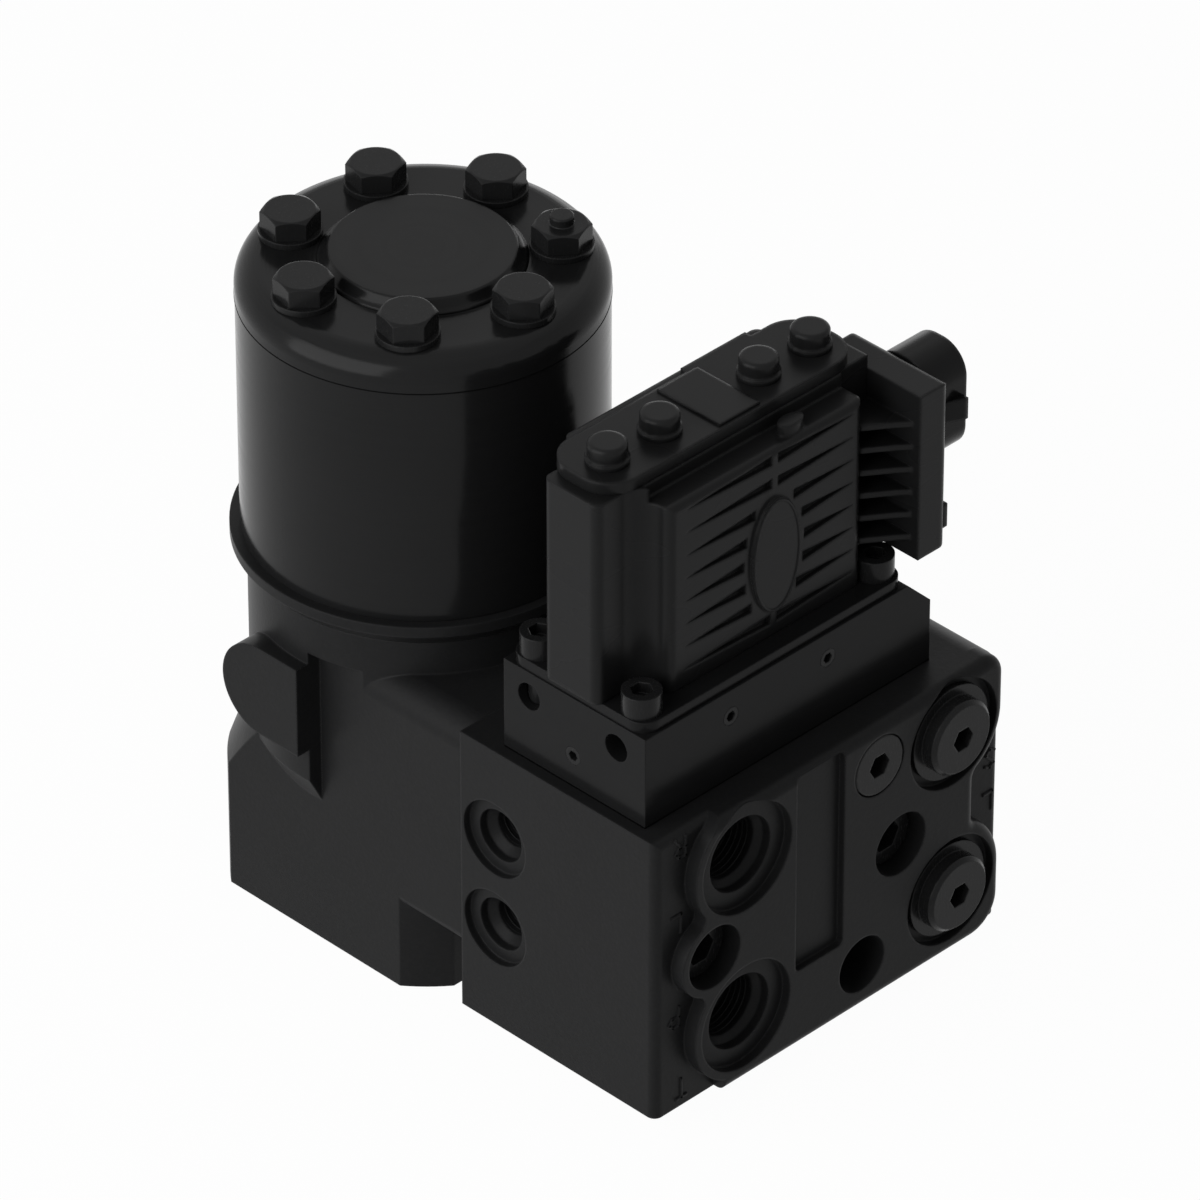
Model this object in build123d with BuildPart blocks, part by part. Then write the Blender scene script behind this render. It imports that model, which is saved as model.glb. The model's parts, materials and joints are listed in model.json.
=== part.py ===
from build123d import *
import os
from math import cos, pi, radians, sin, sqrt

# Orbital steering unit with a bolted valve block and an electronic control module.
# Millimetres. +Z runs up along the gear set, from the face that bolts to the steering column.
# The origin is the centre of that face. The valve block and its hose ports look along -Y.

os.makedirs("parts", exist_ok=True)

# Steering housing
body_half = 40.0                # half width of the square cast body
lobe_radius = 50.3              # corner lobes round the column screws
foot_height = 37.0              # straight height of the corner lobes
shoulder_top = 53.0             # where the sloping shoulders meet the neck
neck_radius = 44.2
front_face = 54.2               # distance from the axis to the face that carries the valve block
shelf_bottom = 25.0             # underside of the cast body in front of the foot
shelf_top = 91.0                # top of the cast body, level with the valve block
shelf_edge_radius = 7.5
shelf_lip_radius = 3.0
side_flat_top = 90.0            # the flat sides reach up to here beside the neck
side_flat_depth = 26.0
flange_radius = 48.4
flange_lip = 3.0                # straight edge of the flange under the gear set
flange_slope = 4.5              # sloping underside of the flange
housing_height = 108.0
lug_offset = 48.0               # distance from the axis to the flat of the side lug
lug_centre_y = 10.0
lug_centre_z = 73.5
lug_radius = 13.0
lug_front_y = -3.5

# Column interface
column_bolt_circle = 82.5
column_thread_core = 8.5        # tapped core of the four M10 holes
column_thread_depth = 20.0
pilot_radius = 20.0
pilot_depth = 4.0

# Gear set and its screws
screw_count = 7
screw_circle = 34.0             # radius of the circle of cover screws
screw_start = 14.0              # direction of the first cover screw, degrees
lobe_arc = 7.5                  # radius of the ring's inner teeth
offset_e = 3.2                  # distance between the rotor's axis and the ring's axis
mesh_clearance = 0.08
ring_radius = 45.85
ring_height = 66.8
ring_root_clearance = 0.35
end_play = 0.03                 # rotor to each of its end faces
screw_hole_radius = 4.3

# Distributor plate
plate_thickness = 10.0
plate_fit = 0.1
plate_centre_hole = 11.0
plate_port_radius = 2.6
plate_port_circle = 27.0

# End cover and its screws
cover_radius = 46.0
cover_thickness = 9.2
cover_edge_radius = 6.5
boss_radius = 23.0
boss_height = 3.2
head_width = 13.0               # across the flats of an M8 head
head_height = 5.4
washer_radius = 8.0
washer_thickness = 1.6
shank_radius = 4.0
thread_core_radius = 3.4
thread_fit = 0.05
thread_engagement = 14.0
stub_radius = 3.2
stub_height = 2.4

# Seals between the gear set's faces
groove_radius = 41.0
groove_width = 2.0
groove_depth = 1.4

# Rotary valve
sleeve_radius = 19.0            # bore in the housing; the sleeve runs in it
spool_radius = 14.0             # bore in the sleeve; the spool runs in it
running_clearance = 0.03
nose_radius = 11.0
nose_end = 4.2                  # height of the spool's nose above the column face
shaft_bore_radius = 10.6
bearing_bottom = 13.0
race_thickness = 1.0
needle_radius = 1.0
needle_count = 10
needle_length = 4.4
bearing_gap = 0.02
valve_end_play = 0.3            # valve to the distributor plate
socket_depth = 16.0
socket_teeth = 12
socket_major_radius = 8.6
socket_minor_radius = 7.6
spring_slot_bottom = 19.8
spring_slot_height = 8.0
spring_slot_half_width = 2.7
leaf_thickness = 0.6
leaf_play = 0.3
leaf_gap = 0.04
shaft_cavity_bottom = 30.0
pin_height = 38.5
pin_radius = 4.0
pin_recess = 0.6
pin_fit = 0.02
neutral_angle = 8.0             # the spool turns this far in the sleeve each way, degrees
valve_port_rows = (58.0, 84.0)
valve_port_count = 6
valve_port_radius = 1.6
valve_groove_heights = (49.0, 71.0, 91.0)
valve_groove_width = 4.0
valve_groove_depth = 1.2
spool_groove_overrun = 4.0      # the spool's grooves run past the port rows

# Seals at the column end
dust_seal_bottom = 5.0
dust_seal_thickness = 2.6
shaft_seal_bottom = 8.8
shaft_seal_thickness = 2.6
seal_outer_radius = 15.0
seal_clearance = 0.08

# Cardan shaft and the spacer above it
fork_radius = 9.3
fork_end = 7.7                  # fork tip below the cross pin
fork_height = 20.0
fork_slot_play = 0.2
fork_slot_rise = 0.5            # room above the cross pin for the shaft's tilt
shaft_radius = 6.6
spline_teeth = 12
spline_tip_radius = 12.2
spline_root_radius = 10.1
spline_tooth_width = 2.5
spline_length = 14.0
spline_height = 132.0           # centre of the crowned spline
rotor_spline_major = 12.5
rotor_spline_minor = 10.6
rotor_spline_space = 3.2
rotor_lobe_points = 12          # points of the rotor's outline on each lobe
spacer_clearance = 0.3

# Valve block
block_left = 41.5               # left face, from the axis
block_right = 79.2
block_bottom = 8.1
block_top = 91.0
block_depth = 66.8              # back face to the cast front face
pad_height = 4.0                # machined pad proud of the cast front face
block_corner_radius = 10.0      # rounded lower right corner
block_side_radius = 2.4         # rounded upright edges of the cast front
pad_left = -21.0
pad_right = 66.8
pad_side_radius = 1.0           # rounded edges of the pad
pad_end_radius = 3.0            # rounded top and bottom edges of the pad
pad_corner_radius = 3.0         # hollow corners between the pad and its bosses
pad_upper_radius = 6.0          # upper right corner of the pad
left_pad_radius = 17.6
right_pad_radius = 18.4
screw_pad_radius = 11.0
left_port_x = -13.9
right_port_x = 58.2
upper_port_z = 75.3
lower_port_z = 27.7
port_mouth_radius = 10.4        # seal seat at the mouth of a 3/4-16 port
port_mouth_depth = 2.6
port_core_radius = 8.8          # tapped core
port_thread_depth = 16.0
spotface_radius = 15.3
spotface_depth = 2.6
gallery_radius = 3.6
return_rise = 2.5               # the return way leaves the port's floor above its centre
port_throat_radius = 6.5
port_throat_depth = 6.0
block_screw_places = ((-25.0, 51.4), (39.9, 51.4))
block_screw_head_radius = 8.0
block_screw_head_height = 10.0
block_screw_counterbore = 8.8
block_screw_counterbore_depth = 15.0
block_screw_hex = 8.0
block_screw_shank = 5.0
block_screw_core = 4.25
block_screw_engagement = 16.0
block_screw_hole = 5.3
dowel_hole_x = 26.8
dowel_hole_z = 21.5
dowel_hole_radius = 7.9
dowel_hole_depth = 26.0
recess_left = 3.2
recess_right = 19.8
recess_bottom = 31.5
recess_top = 89.8
recess_depth = 2.0
recess_corner_radius = 1.6
side_port_y = -65.9
side_port_heights = (64.5, 37.6)
side_port_mouth = 7.2           # seal seat at the mouth of an M12x1.5 port
side_port_mouth_depth = 2.4
side_port_core = 5.25           # tapped core
side_port_depth = 14.0
side_spotface_radius = 10.6
side_spotface_depth = 2.2
side_gallery_x = -24.0
side_gallery_radius = 3.5
cross_gallery_radius = 3.0
drill_overrun = 1.5             # drilled ways run past the way that they meet

# Plugs in the valve block
plug_head_radius = 10.3
plug_head_height = 5.8
plug_head_chamfer = 1.0
plug_flange_radius = 13.1
plug_flange_height = 1.6
plug_hex = 6.0
plug_hex_depth = 5.0
flush_plug_x = 31.9
flush_plug_z = 79.3
flush_plug_radius = 8.5
flush_plug_length = 12.0
flush_plug_play = 0.1
flush_plug_hex = 6.0
sump_plug_x = -8.0
sump_plug_y = -106.0
sump_plug_width = 13.0
sump_plug_height = 6.0
sump_plug_core = 5.5
sump_plug_length = 7.0

# Relief valve behind the flush plug
relief_bore_radius = 5.5
relief_bore_end = 40.0
relief_seat_length = 4.0
relief_poppet_radius = 5.2
relief_poppet_length = 9.0
relief_cone_length = 3.5
relief_spigot_radius = 2.7      # spigot inside the relief spring
relief_spigot_length = 2.0
relief_seat_hole = 3.0

# Check valve in the pressure gallery
check_bore_radius = 6.5
check_bore_depth = 17.0
check_seat_length = 4.0
check_seat_hole = 3.4
check_ball_radius = 4.5
check_travel = 2.0
check_stop_thickness = 1.5
check_stop_hole = 3.0

# Directional spool in the valve block
main_bore_y = -85.0
main_bore_z = 38.8
main_bore_radius = 7.0
main_bore_end = -36.0
main_spool_length = 62.0
main_spool_centre = 14.0
main_spool_waist = 4.6
bore_plug_length = 14.0
bore_plug_head_radius = 9.5
bore_plug_head = 4.0

# Springs
wire_radius = 0.65
spring_gap = 0.1                # wire to the seats at both ends
main_spring_radius = 5.2
main_spring_turns = 4
relief_spring_radius = 3.9
relief_spring_turns = 4

# Adaptor plate on the block, and the module's base plate
adaptor_left = -38.0
adaptor_right = 60.5
adaptor_front = -114.0
adaptor_back = -66.0
adaptor_height = 26.0
adaptor_notch = 8.0
adaptor_hole_radius = 3.7
adaptor_hole_depth = 9.0
adaptor_hole_places = (-74.6, -104.2)
adaptor_hole_z = 109.9
set_screw_radius = 2.5
set_screw_hex = 2.5
set_screw_length = 5.0
side_set_screw = (-89.6, 100.0)
front_set_screws = ((-8.8, 109.3), (24.6, 109.6))
module_x = 7.6                  # centre of the module
module_y = -90.0
base_length = 90.4
base_width = 46.4
base_thickness = 3.0
base_corner_radius = 5.0
plate_screw_inset_x = 5.2       # module screws, from the ends of the base plate
plate_screw_inset_y = 6.0
plate_screw_head_radius = 5.0
plate_screw_head_height = 6.0
plate_screw_hex = 5.0
plate_screw_shank = 3.0
plate_screw_core = 2.5
plate_screw_length = 10.0       # thread in the block

# Module housing
module_height = 57.6
module_front = -108.0
module_back = -72.0
panel_left = -24.0
panel_right = 42.3
end_left = -39.4
end_half_width = 9.2
end_top_radius = 3.0
screw_relief_radius = 6.6       # hollow corners round the left screws
module_edge_radius = 2.4
module_top_radius = 1.8
rib_pitch = 6.6
rib_rows = 8
rib_first = 125.0
rib_depth = 1.5
rib_height = 2.8
rib_margin = 3.0
badge_x = 11.8
badge_z = 143.8
badge_half_width = 8.2
badge_half_height = 16.3
badge_rim = 1.0
badge_height = 0.9
strip_drop = 3.9                # the strip in front of the lid lies this far under the lid
strip_back = -100.3
vent_half_length = 3.9
vent_half_width = 2.2
vent_height = 3.1
vent_x = 20.6
vent_y = -104.3

# Lid, its caps and the bare plate on it
lid_left = -36.0
lid_right = 50.0
lid_front = -100.0
lid_back = -77.0
lid_thickness = 3.4
lid_end_radius = 9.0
lid_tab_left = 13.0
lid_tab_right = 35.0
lid_tab_depth = 2.0
cap_places = (-26.8, -9.2, 24.4, 42.0)
cap_radius = 4.95
cap_height = 5.6
cap_collar_radius = 5.5
cap_collar_height = 1.4
cap_edge_radius = 1.0
tag_left = 2.0
tag_right = 15.6
tag_thickness = 0.7
tag_margin = 1.0

# Finned connector housing and its socket
tower_left = 52.5               # right end of the module housing
tower_right = 62.6
tower_front = -117.0
tower_back = -86.0
tower_bottom = 126.0
tower_top = 173.7
tower_edge_radius = 2.4
fin_thickness = 1.5
fin_first = 131.0
fin_count = 6
fin_tip_x = 49.4
fin_tip_y = -112.0
fin_root_y = -107.0
socket_length = 13.0
socket_half_width = 9.0
socket_bottom = 143.4
socket_top = 173.6
socket_centre_y = -101.4
socket_corner_radius = 8.0
socket_wall = 1.6
socket_inner_depth = 12.0
pin_rows = 6
pin_columns = 2
pin_pitch = 4.0
contact_radius = 0.8
contact_length = 7.0

# Heights and places worked out from the sizes above
recess_floor = housing_height - plate_thickness
gear_bottom = housing_height
gear_top = gear_bottom + ring_height
cover_top = gear_top + cover_thickness
head_seat = cover_top + washer_thickness
valve_bottom = bearing_bottom + 2 * race_thickness + 2 * needle_radius + 2 * bearing_gap
valve_top = recess_floor - valve_end_play
rotor_tip_radius = screw_circle + offset_e - lobe_arc
ring_root_radius = rotor_tip_radius + offset_e + ring_root_clearance
rotor_x = offset_e * cos(radians(screw_start))
rotor_y = offset_e * sin(radians(screw_start))
rotor_turn = screw_start - 180 / (screw_count - 1)
back_face = -front_face
cast_face = back_face - block_depth
pad_face = cast_face - pad_height
adaptor_top = block_top + adaptor_height
base_top = adaptor_top + base_thickness
module_top = base_top + module_height
lid_top = module_top + lid_thickness
port_floor = pad_face + spotface_depth
side_port_floor = -block_left + side_spotface_depth
plate_screw_x = base_length / 2 - plate_screw_inset_x
plate_screw_y = base_width / 2 - plate_screw_inset_y
block_middle_x = (block_right - block_left) / 2
pressure_port = (left_port_x, upper_port_z)
return_port = (left_port_x, lower_port_z)
open_ports = (pressure_port, return_port)
gallery_places = (pressure_port, (left_port_x, lower_port_z + return_rise))
plugged_ports = ((right_port_x, upper_port_z), (right_port_x, lower_port_z))
pin_screw_index = 6

# Planes that face along -Y: x to the right, y up
def front_plane(distance):
    return Plane(origin=(0, distance, 0), x_dir=(1, 0, 0), z_dir=(0, -1, 0))


# Planes that face along -X: x towards -Y, y up
def left_plane(distance):
    return Plane(origin=(distance, 0, 0), x_dir=(0, -1, 0), z_dir=(-1, 0, 0))


def screw_angle(index):
    return screw_start + index * 360 / screw_count


def screw_point(index, radius):
    turn = radians(screw_angle(index))
    return (radius * cos(turn), radius * sin(turn))


def hexagon(width):
    RegularPolygon(radius=width / sqrt(3), side_count=6)


# Rotor outline: the curve that the ring's tooth centres trace round the rotor, moved inwards by a
# tooth's radius and the running clearance.
def rotor_outline_point(turn):
    reach = lobe_arc + mesh_clearance
    lobes = screw_count
    x = screw_circle * cos(turn) + offset_e * cos(lobes * turn)
    y = screw_circle * sin(turn) + offset_e * sin(lobes * turn)
    dx = -screw_circle * sin(turn) - lobes * offset_e * sin(lobes * turn)
    dy = screw_circle * cos(turn) + lobes * offset_e * cos(lobes * turn)
    length = sqrt(dx * dx + dy * dy)
    return (x - reach * dy / length, y + reach * dx / length)


# Housing: square foot with round lobes, round neck under the gear set, cast body towards the block
with BuildPart() as housing:
    with BuildSketch() as foot_outline:
        Rectangle(2 * body_half, 2 * body_half)
        Circle(lobe_radius, mode=Mode.INTERSECT)
    extrude(amount=shoulder_top)
    with BuildSketch(Plane.XZ) as shoulder_outline:
        with BuildLine():
            Polyline(
                (0, 0),
                (lobe_radius, 0),
                (lobe_radius, foot_height),
                (neck_radius, shoulder_top),
                (0, shoulder_top),
                close=True,
            )
        make_face()
    revolve(axis=Axis.Z, mode=Mode.INTERSECT)
    with BuildSketch(Plane.XY.offset(shelf_bottom)) as shelf_outline:
        with Locations((0, back_face / 2)):
            Rectangle(2 * body_half, front_face)
    extrude(amount=shelf_top - shelf_bottom)
    shelf_edges = edges().filter_by(Axis.Y).filter_by_position(Axis.Z, shelf_top - 0.1, shelf_top + 0.1)
    fillet(shelf_edges, radius=shelf_edge_radius)
    lip_edges = edges().filter_by(Axis.Y).filter_by_position(Axis.Z, shelf_bottom - 0.1, shelf_bottom + 0.1)
    fillet(lip_edges, radius=shelf_lip_radius)
    with BuildSketch(Plane.XZ) as neck_outline:
        with BuildLine():
            Polyline(
                (0, foot_height),
                (body_half, foot_height + 6),
                (neck_radius, shoulder_top - 2),
                (neck_radius, housing_height - flange_lip - flange_slope),
                (flange_radius, housing_height - flange_lip),
                (flange_radius, housing_height),
                (0, housing_height),
                close=True,
            )
        make_face()
    revolve(axis=Axis.Z)
    # flat sides beside the neck, in front of the lug
    with BuildSketch(Plane.XY.offset(foot_height)) as flat_outline:
        for side in (1, -1):
            with Locations((side * (body_half + flange_radius / 2), lug_front_y - side_flat_depth / 2)):
                Rectangle(flange_radius, side_flat_depth)
    extrude(amount=side_flat_top - foot_height, mode=Mode.SUBTRACT)
    # side lug on the left
    with BuildSketch(left_plane(-lug_offset)) as lug_outline:
        with Locations((-lug_centre_y, lug_centre_z)):
            Circle(lug_radius)
        with Locations(((-lug_front_y - lug_centre_y) / 2, lug_centre_z)):
            Rectangle(lug_centre_y - lug_front_y, 2 * lug_radius)
    extrude(amount=-(lug_offset - body_half + 6))
    # bore for the rotary valve and the seat of the distributor plate
    with BuildSketch(Plane.XZ) as bore_outline:
        with BuildLine():
            Polyline(
                (0, 0),
                (pilot_radius, 0),
                (pilot_radius, pilot_depth),
                (seal_outer_radius, pilot_depth),
                (seal_outer_radius, dust_seal_bottom + dust_seal_thickness),
                (nose_radius + running_clearance, dust_seal_bottom + dust_seal_thickness),
                (nose_radius + running_clearance, shaft_seal_bottom),
                (seal_outer_radius, shaft_seal_bottom),
                (seal_outer_radius, shaft_seal_bottom + shaft_seal_thickness),
                (nose_radius + running_clearance, shaft_seal_bottom + shaft_seal_thickness),
                (nose_radius + running_clearance, bearing_bottom),
                (sleeve_radius, bearing_bottom),
                (sleeve_radius, recess_floor),
                (neck_radius - 1, recess_floor),
                (neck_radius - 1, housing_height + 1),
                (0, housing_height + 1),
                close=True,
            )
        make_face()
    revolve(axis=Axis.Z, mode=Mode.SUBTRACT)
    # tapped holes for the cover screws
    with BuildSketch(Plane.XY.offset(recess_floor)) as cover_thread_outline:
        with PolarLocations(screw_circle, screw_count, start_angle=screw_start):
            Circle(thread_core_radius)
    extrude(amount=-thread_engagement - 2, mode=Mode.SUBTRACT)
    # tapped holes for the column screws
    with BuildSketch() as column_thread_outline:
        with PolarLocations(column_bolt_circle / 2, 4, start_angle=45):
            Circle(column_thread_core / 2)
    extrude(amount=column_thread_depth, mode=Mode.SUBTRACT)
    # galleries from the block into the valve bore
    with BuildSketch(front_plane(back_face)) as gallery_outline:
        with Locations(*gallery_places):
            Circle(gallery_radius)
    extrude(amount=-(front_face - sleeve_radius / 2), mode=Mode.SUBTRACT)
    for height in side_port_heights:
        slanted = Plane(origin=(side_gallery_x, back_face, height), x_dir=(1, 0, 0), z_dir=(-0.3, -1, 0))
        with BuildSketch(slanted):
            Circle(cross_gallery_radius)
        extrude(amount=-(front_face - sleeve_radius / 2), mode=Mode.SUBTRACT)
    # tapped holes for the block screws
    with BuildSketch(front_plane(back_face)) as block_thread_outline:
        with Locations(*block_screw_places):
            Circle(block_screw_core)
    extrude(amount=-block_screw_engagement - 2, mode=Mode.SUBTRACT)
housing.part.label = "housing"
export_step(housing.part, "parts/housing.step")

# Distributor plate: sits in the flange and leads oil to the gear set's chambers
with BuildPart() as distributor_plate:
    with BuildSketch(Plane.XY.offset(recess_floor)) as distributor_outline:
        Circle(neck_radius - 1 - plate_fit)
        Circle(plate_centre_hole, mode=Mode.SUBTRACT)
        with PolarLocations(screw_circle, screw_count, start_angle=screw_start):
            Circle(screw_hole_radius, mode=Mode.SUBTRACT)
        with PolarLocations(plate_port_circle, screw_count, start_angle=screw_angle(0.5)):
            Circle(plate_port_radius, mode=Mode.SUBTRACT)
    extrude(amount=plate_thickness)
distributor_plate.part.label = "distributor_plate"
export_step(distributor_plate.part, "parts/distributor_plate.step")

# Gear ring: seven round inner teeth, each round a cover screw
with BuildPart() as gear_ring:
    with BuildSketch(Plane.XY.offset(gear_bottom)) as ring_outline:
        Circle(ring_radius)
        with BuildSketch(mode=Mode.PRIVATE) as chamber:
            Circle(ring_root_radius)
            with PolarLocations(screw_circle, screw_count, start_angle=screw_start):
                Circle(lobe_arc, mode=Mode.SUBTRACT)
        add(chamber.sketch, mode=Mode.SUBTRACT)
        with PolarLocations(screw_circle, screw_count, start_angle=screw_start):
            Circle(screw_hole_radius, mode=Mode.SUBTRACT)
    extrude(amount=ring_height)
    for floor in (gear_bottom, gear_top - groove_depth):
        with BuildSketch(Plane.XY.offset(floor)):
            Circle(groove_radius + groove_width)
            Circle(groove_radius, mode=Mode.SUBTRACT)
        extrude(amount=groove_depth, mode=Mode.SUBTRACT)
gear_ring.part.label = "gear_ring"
export_step(gear_ring.part, "parts/gear_ring.step")

# Sealing rings in the gear ring's two end grooves
for name, floor in (("lower_face_seal", gear_bottom), ("upper_face_seal", gear_top - groove_depth)):
    with BuildPart() as face_seal:
        with BuildSketch(Plane.XY.offset(floor)):
            Circle(groove_radius + groove_width)
            Circle(groove_radius, mode=Mode.SUBTRACT)
        extrude(amount=groove_depth)
    face_seal.part.label = name
    export_step(face_seal.part, "parts/" + name + ".step")

# Rotor: six lobes outside, a broached spline inside
rotor_plane = Plane(
    origin=(rotor_x, rotor_y, gear_bottom + end_play),
    x_dir=(cos(radians(rotor_turn)), sin(radians(rotor_turn)), 0),
    z_dir=(0, 0, 1),
)
outline_points = rotor_lobe_points * (screw_count - 1)
with BuildPart() as rotor:
    with BuildSketch(rotor_plane) as rotor_outline:
        with BuildLine():
            Spline(
                [rotor_outline_point(2 * pi * i / outline_points) for i in range(outline_points)],
                periodic=True,
            )
        make_face()
        Circle(rotor_spline_minor, mode=Mode.SUBTRACT)
        with PolarLocations((rotor_spline_major + rotor_spline_minor) / 2 - 1, spline_teeth):
            Rectangle(
                rotor_spline_major - rotor_spline_minor + 2,
                rotor_spline_space,
                mode=Mode.SUBTRACT,
            )
    extrude(amount=ring_height - 2 * end_play)
rotor.part.label = "rotor"
export_step(rotor.part, "parts/rotor.step")

# Cardan shaft: fork on the cross pin, crowned spline in the rotor, tilted by the rotor's offset
shaft_rise = spline_height - pin_height
shaft_length = sqrt(shaft_rise * shaft_rise + offset_e * offset_e)
shaft_plane = Plane(
    origin=(0, 0, pin_height),
    x_dir=(shaft_rise, 0, -rotor_x),
    z_dir=(rotor_x, rotor_y, shaft_rise),
)
spline_plane = Plane(
    origin=(rotor_x, rotor_y, spline_height),
    x_dir=(cos(radians(rotor_turn)), sin(radians(rotor_turn)), -offset_e / shaft_rise * cos(radians(180 / (screw_count - 1)))),
    z_dir=(rotor_x, rotor_y, shaft_rise),
)
with BuildPart() as cardan_shaft:
    with BuildSketch(shaft_plane.offset(-fork_end)) as fork_outline:
        Circle(fork_radius)
    extrude(amount=fork_end + fork_height)
    with BuildSketch(shaft_plane) as shaft_outline:
        Circle(shaft_radius)
    extrude(amount=shaft_length)
    with BuildSketch(spline_plane.offset(-spline_length / 2)) as spline_outline:
        Circle(spline_root_radius)
        with PolarLocations((spline_tip_radius + spline_root_radius) / 2 - 1, spline_teeth):
            Rectangle(spline_tip_radius - spline_root_radius + 2, spline_tooth_width)
    extrude(amount=spline_length)
    with BuildSketch(shaft_plane.offset(-fork_end)) as fork_slot:
        Rectangle(2 * fork_radius + 2, 2 * (pin_radius + fork_slot_play))
    extrude(amount=fork_end + fork_slot_rise, mode=Mode.SUBTRACT)
    slot_root = shaft_plane.offset(fork_slot_rise).origin
    with BuildSketch(Plane(origin=slot_root, x_dir=shaft_plane.y_dir, z_dir=shaft_plane.x_dir)):
        Circle(pin_radius + fork_slot_play)
    extrude(amount=fork_radius + 1, both=True, mode=Mode.SUBTRACT)
cardan_shaft.part.label = "cardan_shaft"
export_step(cardan_shaft.part, "parts/cardan_shaft.step")

# Spacer: round block in the rotor between the shaft and the cover
spacer_bottom = spline_height + spline_length / 2 + 1
with BuildPart() as spacer:
    with BuildSketch(Plane(origin=(rotor_x, rotor_y, spacer_bottom))) as spacer_outline:
        Circle(rotor_spline_minor - spacer_clearance)
    extrude(amount=gear_top - spacer_clearance - spacer_bottom)
    chamfer(edges(), length=0.8)
spacer.part.label = "spacer"
export_step(spacer.part, "parts/spacer.step")

# End cover with its raised centre
with BuildPart() as end_cover:
    with BuildSketch(Plane.XY.offset(gear_top)) as cover_outline:
        Circle(cover_radius)
    extrude(amount=cover_thickness)
    fillet(faces().sort_by(Axis.Z)[-1].edges(), radius=cover_edge_radius)
    with BuildSketch(Plane.XY.offset(cover_top)) as boss_outline:
        Circle(boss_radius)
    extrude(amount=boss_height)
    with BuildSketch(Plane.XY.offset(gear_top)) as cover_hole_outline:
        with PolarLocations(screw_circle, screw_count, start_angle=screw_start):
            Circle(screw_hole_radius)
    extrude(amount=cover_thickness, mode=Mode.SUBTRACT)
end_cover.part.label = "end_cover"
export_step(end_cover.part, "parts/end_cover.step")

# Washers under the cover screws
with BuildPart() as cover_washers:
    with BuildSketch(Plane.XY.offset(cover_top)) as washer_outline:
        with PolarLocations(screw_circle, screw_count, start_angle=screw_start):
            Circle(washer_radius)
        with PolarLocations(screw_circle, screw_count, start_angle=screw_start):
            Circle(screw_hole_radius, mode=Mode.SUBTRACT)
    extrude(amount=washer_thickness)
cover_washers.part.label = "cover_washers"
export_step(cover_washers.part, "parts/cover_washers.step")


# Cover screws: hexagon head, plain shank, threaded end in the housing. One has a stub on its head
plain_screws = [i for i in range(screw_count) if i != pin_screw_index]
for name, members in (("cover_screws", plain_screws), ("pin_screw", [pin_screw_index])):
    places = [screw_point(i, screw_circle) for i in members]
    with BuildPart() as screws:
        with BuildSketch(Plane.XY.offset(head_seat)):
            with Locations(*places):
                hexagon(head_width)
        extrude(amount=head_height)
        with BuildSketch(Plane.XY.offset(recess_floor)):
            with Locations(*places):
                Circle(shank_radius)
        extrude(amount=head_seat - recess_floor)
        with BuildSketch(Plane.XY.offset(recess_floor)):
            with Locations(*places):
                Circle(thread_core_radius - thread_fit)
        extrude(amount=-thread_engagement)
        if name == "pin_screw":
            with BuildSketch(Plane.XY.offset(head_seat + head_height)):
                with Locations(*places):
                    Circle(stub_radius)
            extrude(amount=stub_height)
    screws.part.label = name
    export_step(screws.part, "parts/" + name + ".step")

# Sleeve: outer half of the rotary valve
with BuildPart() as sleeve:
    with BuildSketch(Plane.XY.offset(valve_bottom)) as sleeve_outline:
        Circle(sleeve_radius - running_clearance)
        Circle(spool_radius, mode=Mode.SUBTRACT)
    extrude(amount=valve_top - valve_bottom)
    for height in valve_groove_heights:
        with BuildSketch(Plane.XY.offset(height - valve_groove_width / 2)):
            Circle(sleeve_radius)
            Circle(sleeve_radius - valve_groove_depth, mode=Mode.SUBTRACT)
        extrude(amount=valve_groove_width, mode=Mode.SUBTRACT)
    for height in valve_port_rows:
        for turn in range(valve_port_count):
            angle = turn * 360 / valve_port_count
            with BuildSketch(Plane(origin=(0, 0, height), x_dir=(0, 0, 1), z_dir=(cos(radians(angle)), sin(radians(angle)), 0))):
                Circle(valve_port_radius)
            extrude(amount=sleeve_radius + 1, mode=Mode.SUBTRACT)
    with BuildSketch(Plane(origin=(0, 0, pin_height), x_dir=(0, 1, 0), z_dir=(1, 0, 0))):
        Circle(pin_radius)
    extrude(amount=sleeve_radius, both=True, mode=Mode.SUBTRACT)
    with BuildSketch(Plane.XY.offset(spring_slot_bottom)):
        Rectangle(2 * sleeve_radius + 2, 2 * spring_slot_half_width)
    extrude(amount=spring_slot_height, mode=Mode.SUBTRACT)
sleeve.part.label = "sleeve"
export_step(sleeve.part, "parts/sleeve.step")

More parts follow.
